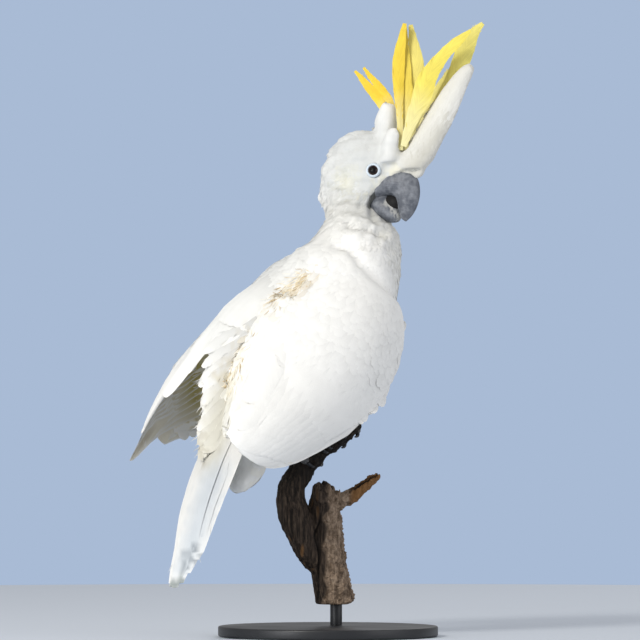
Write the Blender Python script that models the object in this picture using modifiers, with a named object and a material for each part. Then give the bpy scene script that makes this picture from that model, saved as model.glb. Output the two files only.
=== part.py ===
"""A life-size white cockatoo with a raised yellow crest, gripping a cut length of dead branch on a stand.

Metres, +Z up. The bird faces +X, its left is +Y, and the origin is the middle of the base's underside.
The head is turned to the bird's right, the right wing is folded, and the left wing droops clear of the back.
"""

import math
from dataclasses import dataclass

import bmesh
import bpy
from mathutils import Matrix, Vector

# Driving dimensions
GAP = 0.0003  # clearance that parts which touch keep between them

HEAD_AT = Vector((0.058, -0.006, 0.466))  # midway between the eyes
HEAD_TURN = math.radians(-74.0)  # to the bird's right
EYE_RADIUS = 0.0062
EYE_AT = Vector((0.0105, 0.0))  # forward and up, in the head's own frame
EYE_SINK = 0.0036  # how far the eyeball's centre lies inside the head's side

FEET_AT = {"left": 0.020, "right": -0.015}  # how far to the left of the middle plane each foot stands
TOE_RADIUS = 0.0046
TOE_WRAP = math.radians(118.0)
CLAW_WRAP = math.radians(34.0)
TOE_SPLAY = 0.0056  # half the distance between a foot's two front toes, at their roots

BASE_RADIUS = 0.110
BASE_HEIGHT = 0.010
ROD_RADIUS = 0.006
PERCH_CUT = 0.031  # height of the sawn lower end of the branch

RING_POINTS = 28
UP = Vector((0.0, 0.0, 1.0))
LEFT = Vector((0.0, 1.0, 0.0))


@dataclass
class BodyStation:
    """One cross-section of the body: a place in the middle plane, half sizes and the spine's slope."""

    forward: float
    height: float
    half_width: float
    half_depth: float
    slope: float  # degrees above the horizontal
    left: float = 0.0  # how far the section's centre leans out of the middle plane


BODY_STATIONS = [
    BodyStation(-0.128, 0.187, 0.018, 0.012, 66),
    BodyStation(-0.116, 0.203, 0.031, 0.024, 64),
    BodyStation(-0.088, 0.226, 0.046, 0.038, 58),
    BodyStation(-0.046, 0.264, 0.057, 0.053, 53),
    BodyStation(-0.004, 0.311, 0.060, 0.062, 55),
    BodyStation(0.024, 0.356, 0.056, 0.056, 60),
    BodyStation(0.040, 0.388, 0.047, 0.047, 72),
    BodyStation(0.045, 0.408, 0.039, 0.040, 80),
    BodyStation(0.046, 0.424, 0.028, 0.029, 84, 0.008),
    BodyStation(0.050, 0.440, 0.020, 0.020, 86, 0.014),
]


@dataclass
class Blob:
    """An ellipsoid of flesh and plumage: centre, half sizes and pitch, in its parent's frame."""

    centre: tuple
    radii: tuple
    pitch: float = 0.0


HEAD_BLOBS = [
    Blob((-0.012, 0.000, 0.001), (0.044, 0.0245, 0.040)),  # crown and nape
    Blob((-0.028, 0.000, -0.008), (0.031, 0.028, 0.036)),  # back of the head
    Blob((0.014, 0.000, 0.012), (0.018, 0.016, 0.026), 12),  # forehead
    Blob((-0.008, 0.008, -0.021), (0.019, 0.017, 0.020)),  # left cheek
    Blob((-0.008, -0.008, -0.021), (0.019, 0.017, 0.020)),  # right cheek
    Blob((-0.020, 0.000, -0.044), (0.024, 0.021, 0.022)),  # throat
    Blob((-0.030, 0.000, -0.038), (0.028, 0.026, 0.028)),  # nape
    Blob((-0.050, -0.004, -0.024), (0.012, 0.014, 0.014)),  # loose nape feathers
]

BODY_BLOBS = [
    Blob((0.040, 0.000, 0.326), (0.038, 0.046, 0.052), 0),  # breast
    Blob((-0.004, 0.004, 0.357), (0.038, 0.045, 0.040), 0),  # mantle
    Blob((-0.078, 0.000, 0.200), (0.036, 0.034, 0.027), 20),  # vent
    Blob((-0.104, 0.000, 0.176), (0.018, 0.022, 0.032), 24),  # undertail coverts
    Blob((-0.116, 0.000, 0.158), (0.012, 0.017, 0.018), 30),
]

NECK_PLANE_LOW = (Vector((0.044, 0.0, 0.394)), Vector((0.20, 0.0, 1.0)))
NECK_PLANE_HIGH = (Vector((0.050, 0.0, 0.428)), Vector((0.05, -0.10, 1.0)))


@dataclass
class WingStation:
    """One section across a folded wing: its trailing edge on the back, its leading edge on the flank."""

    trailing: tuple
    leading: tuple
    bulge: float  # how far the arc between the edges stands outwards
    thickness: float


RIGHT_WING = [
    WingStation((0.004, -0.038, 0.376), (0.034, -0.050, 0.362), 0.004, 0.006),
    WingStation((-0.018, -0.028, 0.368), (0.049, -0.054, 0.334), 0.014, 0.010),
    WingStation((-0.048, -0.018, 0.350), (0.051, -0.058, 0.294), 0.026, 0.011),
    WingStation((-0.080, -0.016, 0.318), (0.030, -0.060, 0.250), 0.030, 0.010),
    WingStation((-0.108, -0.016, 0.284), (-0.009, -0.060, 0.215), 0.028, 0.009),
    WingStation((-0.134, -0.020, 0.248), (-0.060, -0.058, 0.191), 0.023, 0.007),
    WingStation((-0.157, -0.027, 0.224), (-0.102, -0.052, 0.174), 0.016, 0.006),
    WingStation((-0.167, -0.032, 0.206), (-0.134, -0.046, 0.171), 0.008, 0.004),
    WingStation((-0.166, -0.035, 0.196), (-0.152, -0.042, 0.181), 0.003, 0.002),
]

LEFT_WING = [
    WingStation((-0.010, 0.034, 0.386), (0.030, 0.054, 0.360), 0.008, 0.006),
    WingStation((-0.040, 0.024, 0.372), (0.048, 0.082, 0.318), 0.028, 0.010),
    WingStation((-0.072, 0.030, 0.346), (0.020, 0.108, 0.254), 0.032, 0.010),
    WingStation((-0.098, 0.042, 0.318), (-0.030, 0.114, 0.222), 0.034, 0.009),
    WingStation((-0.116, 0.060, 0.284), (-0.085, 0.108, 0.204), 0.036, 0.007),
    WingStation((-0.132, 0.072, 0.258), (-0.110, 0.106, 0.198), 0.026, 0.005),
    WingStation((-0.148, 0.080, 0.236), (-0.132, 0.104, 0.190), 0.016, 0.004),
    WingStation((-0.164, 0.088, 0.208), (-0.152, 0.102, 0.182), 0.007, 0.003),
    WingStation((-0.178, 0.096, 0.180), (-0.172, 0.101, 0.172), 0.002, 0.002),
]

COVERTS_END = Vector((-0.062, 0.0, 0.285))  # where the coverts give way to the flight feathers
WING_SLOPE = math.radians(48.0)


@dataclass
class Vane:
    """A feather or a bunch of feathers, drawn as a flat blade along a centre line."""

    name: str
    line: list
    widths: list
    thickness: float
    face: tuple  # the direction that the flat side looks in
    colour: str


# In the head's frame: forward, left and up from midway between the eyes.
CREST_VANES = [
    Vane(
        "crest_front",
        [(0.035, 0.003, 0.000), (0.049, 0.003, 0.019), (0.066, 0.003, 0.040),
         (0.081, 0.003, 0.062), (0.095, 0.003, 0.084), (0.105, 0.003, 0.097),
         (0.111, 0.003, 0.103)],
        [0.024, 0.033, 0.035, 0.031, 0.023, 0.016, 0.008],
        0.016, (0.15, -0.80, 0.45), "feather_white",
    ),
    Vane(
        "crest_rear",
        [(0.005, 0.002, 0.030), (0.010, 0.002, 0.047), (0.015, 0.002, 0.067)],
        [0.022, 0.023, 0.013],
        0.009, (0.3, -0.9, 0.1), "feather_white",
    ),
    Vane(
        "crest_middle",
        [(0.014, -0.015, 0.018), (0.018, -0.015, 0.034), (0.022, -0.014, 0.047)],
        [0.026, 0.020, 0.008],
        0.008, (0.3, -0.9, 0.2), "feather_white",
    ),
    Vane(
        "crest_feather_1",
        [(0.008, 0.012, 0.030), (0.008, 0.012, 0.048), (0.001, 0.012, 0.066),
         (-0.009, 0.012, 0.078), (-0.020, 0.012, 0.090), (-0.031, 0.012, 0.101)],
        [0.006, 0.007, 0.009, 0.010, 0.007, 0.0025],
        0.0016, (0.35, -0.90, 0.10), "feather_yellow",
    ),
    Vane(
        "crest_feather_2",
        [(0.019, 0.009, 0.030), (0.019, 0.009, 0.052), (0.011, 0.009, 0.071),
         (0.001, 0.009, 0.083), (-0.009, 0.009, 0.093), (-0.019, 0.009, 0.104)],
        [0.006, 0.006, 0.008, 0.008, 0.006, 0.0025],
        0.0016, (0.40, -0.88, 0.10), "feather_yellow",
    ),
    Vane(
        "crest_feather_3",
        [(0.034, -0.007, 0.020), (0.034, -0.007, 0.042), (0.033, -0.007, 0.064),
         (0.032, -0.007, 0.082), (0.032, -0.007, 0.104), (0.035, -0.007, 0.126),
         (0.039, -0.007, 0.147)],
        [0.006, 0.006, 0.008, 0.011, 0.013, 0.010, 0.003],
        0.0016, (0.50, -0.86, 0.0), "feather_yellow",
    ),
    Vane(
        "crest_feather_4",
        [(0.037, -0.001, 0.020), (0.038, -0.001, 0.040), (0.038, -0.001, 0.062),
         (0.038, -0.001, 0.082), (0.035, -0.001, 0.106), (0.035, -0.001, 0.127),
         (0.036, -0.001, 0.147)],
        [0.005, 0.007, 0.010, 0.012, 0.013, 0.009, 0.003],
        0.0016, (0.40, -0.90, 0.0), "feather_yellow",
    ),
    Vane(
        "crest_feather_5",
        [(0.032, 0.007, 0.024), (0.036, 0.007, 0.050), (0.041, 0.007, 0.072),
         (0.045, 0.007, 0.090), (0.045, 0.007, 0.106), (0.041, 0.007, 0.128),
         (0.038, 0.007, 0.146)],
        [0.005, 0.006, 0.009, 0.013, 0.015, 0.010, 0.0035],
        0.0016, (0.55, -0.84, 0.0), "feather_yellow",
    ),
    Vane(
        "crest_feather_6",
        [(0.039, -0.009, 0.024), (0.045, -0.009, 0.040), (0.052, -0.009, 0.056),
         (0.059, -0.009, 0.070), (0.065, -0.009, 0.086), (0.074, -0.009, 0.101),
         (0.089, -0.009, 0.117), (0.103, -0.009, 0.128), (0.117, -0.009, 0.138)],
        [0.006, 0.010, 0.015, 0.019, 0.020, 0.016, 0.012, 0.010, 0.003],
        0.0018, (0.45, -0.88, 0.10), "feather_yellow",
    ),
    Vane(
        "crest_feather_7",
        [(0.034, 0.014, 0.020), (0.048, 0.014, 0.048), (0.063, 0.014, 0.066),
         (0.074, 0.014, 0.080), (0.085, 0.014, 0.094), (0.093, 0.014, 0.110),
         (0.099, 0.014, 0.125), (0.107, 0.014, 0.136), (0.118, 0.014, 0.146)],
        [0.006, 0.007, 0.008, 0.012, 0.016, 0.018, 0.018, 0.012, 0.004],
        0.0018, (0.50, -0.85, 0.10), "feather_yellow",
    ),
    Vane(
        "crest_feather_8",
        [(0.027, 0.022, 0.022), (0.039, 0.022, 0.048), (0.054, 0.022, 0.071),
         (0.066, 0.022, 0.087), (0.073, 0.022, 0.100)],
        [0.006, 0.007, 0.009, 0.009, 0.003],
        0.0016, (0.50, -0.85, 0.10), "feather_yellow",
    ),
]

# In the world's frame.
TAIL = Vane(
    "tail",
    [(-0.122, 0.000, 0.222), (-0.142, 0.000, 0.192), (-0.159, 0.000, 0.150),
     (-0.176, 0.000, 0.108), (-0.192, 0.000, 0.076), (-0.203, 0.000, 0.055)],
    [0.034, 0.044, 0.050, 0.048, 0.040, 0.020],
    0.007, (-0.92, 0.0, 0.38), "feather_white",
)

LEFT_TERTIALS = Vane(
    "wing_left_tertials",
    [(-0.085, 0.026, 0.316), (-0.105, 0.027, 0.286), (-0.124, 0.026, 0.254),
     (-0.142, 0.020, 0.222), (-0.154, 0.013, 0.196), (-0.160, 0.007, 0.178)],
    [0.028, 0.034, 0.036, 0.032, 0.022, 0.008],
    0.008, (-0.80, -0.15, 0.55), "feather_white",
)


@dataclass
class PerchStation:
    """One section of the branch: its centre and its two half sizes."""

    centre: tuple
    half_wide: float
    half_deep: float


# The bark-covered trunk, the dead slab with the limb the bird grips, and the split side stub.
PERCH_TRUNK = [
    PerchStation((0.0200, 0.010, PERCH_CUT), 0.0205, 0.0190),
    PerchStation((0.0120, 0.010, 0.060), 0.0185, 0.0180),
    PerchStation((0.0080, 0.010, 0.090), 0.0170, 0.0170),
    PerchStation((0.0050, 0.010, 0.120), 0.0165, 0.0165),
    PerchStation((0.0030, 0.010, 0.138), 0.0140, 0.0150),
    PerchStation((-0.0010, 0.010, 0.146), 0.0080, 0.0090),
]
PERCH_LIMB = [
    PerchStation((0.0060, 0.012, 0.062), 0.0060, 0.0080),
    PerchStation((-0.0090, 0.014, 0.078), 0.0120, 0.0110),
    PerchStation((-0.0200, 0.018, 0.102), 0.0155, 0.0140),
    PerchStation((-0.0260, 0.024, 0.126), 0.0160, 0.0145),
    PerchStation((-0.0240, 0.028, 0.146), 0.0140, 0.0135),
    PerchStation((-0.0110, 0.025, 0.168), 0.0125, 0.0125),
    PerchStation((-0.0040, 0.012, 0.186), 0.0122, 0.0122),
    PerchStation((0.0010, -0.006, 0.198), 0.0120, 0.0120),
    PerchStation((0.0030, -0.024, 0.208), 0.0112, 0.0112),
    PerchStation((0.0030, -0.038, 0.215), 0.0080, 0.0080),
]
PERCH_STUB = [
    PerchStation((0.0040, 0.004, 0.130), 0.0100, 0.0090),
    PerchStation((0.0200, -0.008, 0.138), 0.0078, 0.0075),
    PerchStation((0.0310, -0.017, 0.148), 0.0064, 0.0060),
    PerchStation((0.0400, -0.025, 0.158), 0.0052, 0.0048),
    PerchStation((0.0440, -0.029, 0.162), 0.0030, 0.0026),
]
PERCH_KNOB = Blob((-0.006, 0.002, 0.140), (0.010, 0.010, 0.010))

COLOURS = {
    "feather_white": (0.90, 0.89, 0.85),
    "feather_yellow": (0.92, 0.78, 0.16),
    "bill_grey": (0.16, 0.17, 0.19),
    "foot_grey": (0.09, 0.09, 0.10),
    "eye_brown": (0.020, 0.012, 0.010),
    "lid_blue": (0.66, 0.76, 0.80),
    "dead_wood": (0.14, 0.10, 0.07),
    "stand_black": (0.03, 0.03, 0.03),
}
ROUGHNESS = {"eye_brown": 0.08, "bill_grey": 0.45, "foot_grey": 0.60, "stand_black": 0.35}


def clear_scene():
    """Remove whatever the file holds and return a collection for the parts and one for the helpers."""
    for obj in list(bpy.data.objects):
        bpy.data.objects.remove(obj)
    made = []
    for name in ("cockatoo", "helpers"):
        collection = bpy.data.collections.new(name)
        bpy.context.scene.collection.children.link(collection)
        made.append(collection)
    made[1].hide_render = True
    return made


PARTS, HELPERS = clear_scene()


def finish_named(name):
    """The Principled material of that finish, made once."""
    found = bpy.data.materials.get(name)
    if found:
        return found
    finish = bpy.data.materials.new(name)
    finish.use_nodes = True
    shader = finish.node_tree.nodes["Principled BSDF"]
    shader.inputs["Base Color"].default_value = (*COLOURS[name], 1.0)
    shader.inputs["Roughness"].default_value = ROUGHNESS.get(name, 0.8)
    shader.inputs["Metallic"].default_value = 0.0
    return finish


def new_object(name, mesh, finish=None, helper=False):
    """An object for the mesh, among the parts or the helpers."""
    obj = bpy.data.objects.new(name, mesh)
    (HELPERS if helper else PARTS).objects.link(obj)
    if helper:
        obj.hide_render = True
        obj.display_type = "WIRE"
    if finish:
        mesh.materials.clear()
        mesh.materials.append(finish_named(finish))
    return obj


def baked(obj):
    """A new mesh with the object's modifiers and place worked in. The object is removed."""
    bpy.context.view_layer.update()
    graph = bpy.context.evaluated_depsgraph_get()
    evaluated = obj.evaluated_get(graph)
    mesh = bpy.data.meshes.new_from_object(evaluated)
    mesh.transform(evaluated.matrix_world)
    bpy.data.objects.remove(obj)
    return mesh


def head_matrix():
    """Where the head's own frame stands."""
    return Matrix.Translation(HEAD_AT) @ Matrix.Rotation(HEAD_TURN, 4, "Z")


def catmull(before, start, end, after, t):
    """A point between start and end on the smooth curve through all four."""
    return 0.5 * (
        2 * start
        + (end - before) * t
        + (2 * before - 5 * start + 4 * end - after) * t * t
        + (3 * start - before - 3 * end + after) * t ** 3
    )


def smoothed(values, steps):
    """The values, with steps - 1 more between each two, on a smooth curve. They are numbers or Vectors."""
    last = len(values) - 1
    out = []
    for i in range(last):
        for step in range(steps):
            out.append(catmull(
                values[max(i - 1, 0)], values[i], values[i + 1], values[min(i + 2, last)], step / steps
            ))
    return out + [values[last]]


def ellipse(centre, side, depth, count=RING_POINTS):
    """Points round an ellipse whose half axes are the vectors side and depth."""
    turn = 2 * math.pi / count
    return [centre + side * math.cos(turn * i) + depth * math.sin(turn * i) for i in range(count)]


def loft(name, rings, finish=None, helper=False):
    """A closed body through rings of equally many points, with a flat cap at each end."""
    bm = bmesh.new()
    rows = [[bm.verts.new(point) for point in ring] for ring in rings]
    count = len(rings[0])
    for low, high in zip(rows, rows[1:]):
        for i in range(count):
            j = (i + 1) % count
            bm.faces.new((low[i], low[j], high[j], high[i]))
    bm.faces.new(reversed(rows[0]))
    bm.faces.new(rows[-1])
    bmesh.ops.recalc_face_normals(bm, faces=bm.faces)
    mesh = bpy.data.meshes.new(name)
    bm.to_mesh(mesh)
    bm.free()
    return new_object(name, mesh, finish, helper)


def ellipsoid(blob, frame=None, segments=20):
    """A helper ball stretched to the blob's half sizes, in the given frame."""
    place = (
        (frame or Matrix.Identity(4))
        @ Matrix.Translation(blob.centre)
        @ Matrix.Rotation(math.radians(blob.pitch), 4, "Y")
        @ Matrix.Diagonal((*blob.radii, 1.0))
    )
    bm = bmesh.new()
    bmesh.ops.create_uvsphere(bm, u_segments=segments, v_segments=segments // 2, radius=1.0, matrix=place)
    mesh = bpy.data.meshes.new("blob")
    bm.to_mesh(mesh)
    bm.free()
    return new_object("blob", mesh, helper=True)


def joined(name, pieces):
    """One helper object that holds the meshes of all the pieces, which are removed."""
    bm = bmesh.new()
    for piece in pieces:
        mesh = baked(piece)
        bm.from_mesh(mesh)
        bpy.data.meshes.remove(mesh)
    mesh = bpy.data.meshes.new(name)
    bm.to_mesh(mesh)
    bm.free()
    return new_object(name, mesh, helper=True)


def fused(name, pieces, voxel, rounds):
    """The pieces grown into one body by a voxel remesh, with their joins smoothed."""
    body = joined(name, pieces)
    remesh = body.modifiers.new("grow together", "REMESH")
    remesh.mode = "VOXEL"
    remesh.voxel_size = voxel
    smooth = body.modifiers.new("soften the joins", "SMOOTH")
    smooth.factor = 0.5
    smooth.iterations = rounds
    return new_object(name, baked(body), helper=True)


def thinned(obj, triangles):
    """The object with its mesh brought down to about that many triangles."""
    mesh = obj.data
    now = sum(len(face.vertices) - 2 for face in mesh.polygons)
    if now <= triangles:
        return obj
    fewer = obj.modifiers.new("fewer faces", "DECIMATE")
    fewer.ratio = triangles / now
    return obj


def largest_only(mesh):
    """Drop every loose fragment of the mesh but the largest, and turn that one's faces outwards."""
    bm = bmesh.new()
    bm.from_mesh(mesh)
    left, groups = set(bm.verts), []
    while left:
        group, edge = set(), [left.pop()]
        while edge:
            vert = edge.pop()
            group.add(vert)
            near = {e.other_vert(vert) for e in vert.link_edges} & left
            left -= near
            edge.extend(near)
        groups.append(group)
    keep = max(groups, key=len)
    bmesh.ops.delete(bm, geom=[v for v in bm.verts if v not in keep], context="VERTS")
    if bm.calc_volume(signed=True) < 0:
        bmesh.ops.reverse_faces(bm, faces=bm.faces)
    bm.to_mesh(mesh)
    bm.free()


def sliced(whole, name, planes, finish, triangles):
    """The part of a helper body that lies on the far side of every plane, capped where it was cut."""
    bm = bmesh.new()
    bm.from_mesh(whole.data)
    for point, normal in planes:
        cut = bmesh.ops.bisect_plane(
            bm, geom=bm.verts[:] + bm.edges[:] + bm.faces[:], dist=1e-6,
            plane_co=point + normal.normalized() * GAP / 2, plane_no=normal, clear_inner=True,
        )
        rim = [item for item in cut["geom_cut"] if isinstance(item, bmesh.types.BMEdge)]
        bmesh.ops.holes_fill(bm, edges=rim)
    bmesh.ops.recalc_face_normals(bm, faces=bm.faces)
    mesh = bpy.data.meshes.new(name)
    bm.to_mesh(mesh)
    bm.free()
    obj = thinned(new_object(name, mesh, helper=True), triangles)
    mesh = baked(obj)
    largest_only(mesh)
    return new_object(name, mesh, finish)


def grown(obj, margin):
    """A helper copy of the object, its surface pushed outwards by the margin."""
    mesh = obj.data.copy()
    copy = new_object("cutter", mesh, helper=True)
    copy.matrix_world = obj.matrix_world
    push = copy.modifiers.new("clearance", "DISPLACE")
    push.mid_level = 0.0
    push.strength = margin
    return new_object("cutter", baked(copy), helper=True)


def carved(obj, others, margin=GAP):
    """The object with room cut in it for the others, as one closed body."""
    name = obj.name
    finish = obj.data.materials[0].name
    for other in others:
        cutter = grown(other, margin)
        cut = obj.modifiers.new("room", "BOOLEAN")
        cut.operation = "DIFFERENCE"
        cut.solver = "EXACT"
        cut.object = cutter
        mesh = baked(obj)
        bpy.data.objects.remove(cutter)
        bm = bmesh.new()
        bm.from_mesh(mesh)
        bmesh.ops.remove_doubles(bm, verts=bm.verts, dist=2e-6)
        bmesh.ops.dissolve_degenerate(bm, dist=2e-6, edges=bm.edges)
        bm.to_mesh(mesh)
        bm.free()
        largest_only(mesh)
        obj = new_object(name, mesh, finish)
    return obj


def body_loft():
    """The trunk and neck, through the body stations."""
    steps = 3
    tracks = [
        smoothed([getattr(s, field) for s in BODY_STATIONS], steps)
        for field in ("forward", "left", "height", "half_width", "half_depth", "slope")
    ]
    rings = []
    for forward, left, height, half_width, half_depth, slope in zip(*tracks):
        angle = math.radians(slope)
        dorsal = Vector((-math.sin(angle), 0.0, math.cos(angle)))
        rings.append(ellipse(Vector((forward, left, height)), LEFT * half_width, dorsal * half_depth))
    return loft("body", rings, helper=True)


def make_flesh():
    """Head, neck and trunk: one body, parted by two thin cuts, with sockets for the eyes."""
    pieces = [body_loft()]
    pieces += [ellipsoid(blob) for blob in BODY_BLOBS]
    pieces += [ellipsoid(blob, head_matrix()) for blob in HEAD_BLOBS]
    whole = fused("whole_bird", pieces, voxel=0.0032, rounds=6)
    low, high = NECK_PLANE_LOW, NECK_PLANE_HIGH
    below_low, below_high = (low[0], -low[1]), (high[0], -high[1])
    trunk = sliced(whole, "trunk", [below_low], "feather_white", 760)
    neck = sliced(whole, "neck", [low, below_high], "feather_white", 240)
    head = sliced(whole, "head", [high], "feather_white", 620)
    bpy.data.objects.remove(whole)
    return trunk, neck, head


def make_eyes(head):
    """The two eyeballs and the bare rings round them, set into the sides of the head."""
    eyes, lids = [], []
    for side, word in ((1, "left"), (-1, "right")):
        outside = head_matrix() @ Vector((EYE_AT.x, side * 0.1, EYE_AT.y))
        inwards = (head_matrix().to_3x3() @ Vector((0.0, -side, 0.0))).normalized()
        _, skin, _, _ = head.ray_cast(outside, inwards)
        outwards = (head_matrix().to_3x3() @ Vector((0.30, side, 0.06))).normalized()
        centre = skin - outwards * EYE_SINK
        turn = outwards.to_track_quat("Z", "Y").to_matrix().to_4x4()
        bm = bmesh.new()
        bmesh.ops.create_uvsphere(
            bm, u_segments=14, v_segments=7, radius=EYE_RADIUS, matrix=Matrix.Translation(centre) @ turn
        )
        mesh = bpy.data.meshes.new("eye_" + word)
        bm.to_mesh(mesh)
        bm.free()
        eyes.append(new_object("eye_" + word, mesh, "eye_brown"))
        lids.append(lid("lid_" + word, centre, turn))
    return eyes, lids


def lid(name, centre, turn):
    """A bare ring of skin round the eye: a turned section, thick at its rim."""
    inner, outer, back, front = 0.0048, 0.0076, 0.0022, 0.0056
    section = [
        (inner, front - 0.0010), (inner + 0.0008, front), (outer - 0.0010, front - 0.0012),
        (outer, back), (inner + 0.0004, back - 0.0010),
    ]
    count = 16
    bm = bmesh.new()
    rows = []
    for i in range(count):
        angle = 2 * math.pi * i / count
        across = Vector((math.cos(angle), math.sin(angle), 0.0))
        rows.append([bm.verts.new(across * r + UP * h) for r, h in section])
    for i in range(count):
        here, there = rows[i], rows[(i + 1) % count]
        for j in range(len(section)):
            k = (j + 1) % len(section)
            bm.faces.new((here[j], there[j], there[k], here[k]))
    bmesh.ops.recalc_face_normals(bm, faces=bm.faces)
    bm.transform(Matrix.Translation(centre) @ turn)
    mesh = bpy.data.meshes.new(name)
    bm.to_mesh(mesh)
    bm.free()
    return new_object(name, mesh, "lid_blue")


def horn_loft(name, sections):
    """A bill half: ellipses in the head's frame, each given by centre, half width, half depth and tilt."""
    tracks = [smoothed([section[i] for section in sections], 2) for i in range(5)]
    rings = []
    for forward, up, half_width, half_depth, tilt in zip(*tracks):
        angle = math.radians(tilt)
        depth = Vector((math.cos(angle), 0.0, math.sin(angle))) * half_depth
        rings.append(ellipse(Vector((forward, 0.0, up)), LEFT * half_width, depth, 12))
    obj = loft(name, rings, "bill_grey")
    obj.data.transform(head_matrix())
    return obj


def make_bill():
    """The strongly hooked upper half and the broad, cupped lower half."""
    # forward, up, half width, half depth, tilt of the depth axis above the horizontal
    upper = [
        (0.0140, -0.0100, 0.0110, 0.0150, 78.0),
        (0.0265, -0.0120, 0.0118, 0.0152, 62.0),
        (0.0358, -0.0170, 0.0112, 0.0144, 38.0),
        (0.0387, -0.0252, 0.0098, 0.0134, 12.0),
        (0.0376, -0.0342, 0.0080, 0.0116, -8.0),
        (0.0354, -0.0421, 0.0056, 0.0084, -26.0),
        (0.0333, -0.0488, 0.0026, 0.0040, -38.0),
    ]
    lower = [
        (0.0010, -0.0300, 0.0105, 0.0120, 50.0),
        (0.0090, -0.0355, 0.0122, 0.0138, 53.0),
        (0.0169, -0.0400, 0.0125, 0.0124, 53.0),
        (0.0227, -0.0443, 0.0100, 0.0098, 54.0),
        (0.0267, -0.0473, 0.0065, 0.0062, 56.0),
        (0.0285, -0.0492, 0.0030, 0.0030, 58.0),
    ]
    return horn_loft("bill_upper", upper), horn_loft("bill_lower", lower)


def make_vane(vane, frame=None):
    """A blade with pointed-oval sections along the vane's centre line."""
    steps, count = 2, 6
    line = smoothed([Vector(point) for point in vane.line], steps)
    widths = smoothed(vane.widths, steps)
    face = Vector(vane.face).normalized()
    rings = []
    for i, (centre, width) in enumerate(zip(line, widths)):
        along = (line[min(i + 1, len(line) - 1)] - line[max(i - 1, 0)]).normalized()
        across = along.cross(face).normalized()
        normal = across.cross(along).normalized()
        half = max(width / 2, 0.0008)
        depth = max(vane.thickness / 2 * min(1.0, width / max(vane.widths) + 0.25), 0.0006)
        rings.append(ellipse(centre, across * half, normal * depth, count))
    obj = loft(vane.name, rings, vane.colour)
    if frame:
        obj.data.transform(frame)
    return obj


def wing_rings(stations, side):
    """Closed rings round a curved plate, one for each of the smoothed stations."""
    steps, spans = 2, 7
    trailing = smoothed([Vector(s.trailing) for s in stations], steps)
    leading = smoothed([Vector(s.leading) for s in stations], steps)
    bulges = smoothed([s.bulge for s in stations], steps)
    thicknesses = smoothed([s.thickness for s in stations], steps)
    rings = []
    last = len(trailing) - 1
    for i, (top, bottom, bulge, thickness) in enumerate(zip(trailing, leading, bulges, thicknesses)):
        a, b = max(i - 1, 0), min(i + 1, last)
        along = ((trailing[b] + leading[b]) - (trailing[a] + leading[a])).normalized()
        chord = bottom - top
        outwards = chord.cross(along).normalized()
        if outwards.y * side < 0:
            outwards.negate()
        outer, inner = [], []
        for j in range(spans + 1):
            t = j / spans
            middle = top + chord * t + outwards * bulge * math.sin(math.pi * t) ** 0.8
            slope = chord.normalized() + outwards * (
                bulge * math.pi * math.cos(math.pi * t) / max(chord.length, 1e-6)
            )
            normal = slope.cross(along).normalized()
            if normal.dot(outwards) < 0:
                normal.negate()
            half = thickness / 2 * (0.30 + 0.70 * math.sin(math.pi * t) ** 0.6)
            outer.append(middle + normal * half)
            inner.append(middle - normal * half)
        rings.append(outer + inner[::-1])
    return rings


def make_wings():
    """Each folded wing, parted into its coverts and its flight feathers."""
    made = {}
    along = Vector((math.cos(WING_SLOPE), 0.0, math.sin(WING_SLOPE)))
    for word, stations, side in (("right", RIGHT_WING, -1), ("left", LEFT_WING, 1)):
        whole = loft("wing", wing_rings(stations, side), helper=True)
        made["wing_%s_coverts" % word] = sliced(
            whole, "wing_%s_coverts" % word, [(COVERTS_END, along)], "feather_white", 5000
        )
        made["wing_%s_flight" % word] = sliced(
            whole, "wing_%s_flight" % word, [(COVERTS_END, -along)], "feather_white", 5000
        )
        bpy.data.objects.remove(whole)
    return made


def perch_tube(name, stations, steps=3):
    """A rounded length of wood through its stations."""
    line = smoothed([Vector(s.centre) for s in stations], steps)
    wide = smoothed([s.half_wide for s in stations], steps)
    deep = smoothed([s.half_deep for s in stations], steps)
    rings = []
    for i, centre in enumerate(line):
        along = (line[min(i + 1, len(line) - 1)] - line[max(i - 1, 0)]).normalized()
        side = along.cross(LEFT).normalized()
        other = side.cross(along).normalized()
        rings.append(ellipse(centre, side * wide[i], other * deep[i], 20))
    return loft(name, rings, helper=True)


def make_perch():
    """The cut length of dead branch, with its lower end sawn flat."""
    pieces = [
        perch_tube("trunk_wood", PERCH_TRUNK),
        perch_tube("limb_wood", PERCH_LIMB),
        perch_tube("stub_wood", PERCH_STUB),
        ellipsoid(PERCH_KNOB),
    ]
    whole = fused("whole_perch", pieces, voxel=0.0018, rounds=3)
    foot = (Vector((0.0, 0.0, PERCH_CUT)), UP)
    perch = sliced(whole, "perch", [foot], "dead_wood", 540)
    bpy.data.objects.remove(whole)
    return perch


def perch_axis(distance_left):
    """The centre, direction, upper side and radius of the gripped limb, that far left of the middle."""
    line = smoothed([Vector(s.centre) for s in PERCH_LIMB], 6)
    wide = smoothed([s.half_wide for s in PERCH_LIMB], 6)
    nearest = min(range(len(line) - 1), key=lambda i: abs(line[i].y - distance_left) - line[i].z)
    along = (line[nearest + 1] - line[nearest - 1]).normalized()
    return line[nearest], along, (UP - along * UP.dot(along)).normalized(), wide[nearest]


def wrapped_line(perch, centre, along, over, shift, way, angles, lifts):
    """Points that curl round the limb, towards the front (way 1) or the back (way -1), on its bark."""
    forward = along.cross(over)
    if forward.x < 0:
        forward.negate()
    points = []
    for angle, lift in zip(angles, lifts):
        spread = shift * (1.0 + 0.9 * math.sin(min(angle / TOE_WRAP, 1.0) * math.pi / 2))
        outwards = over * math.cos(angle) + forward * way * math.sin(angle)
        start = centre + along * spread
        _, bark, _, _ = perch.ray_cast(start + outwards * 0.04, -outwards)
        points.append(bark + outwards * lift)
    return points


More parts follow.
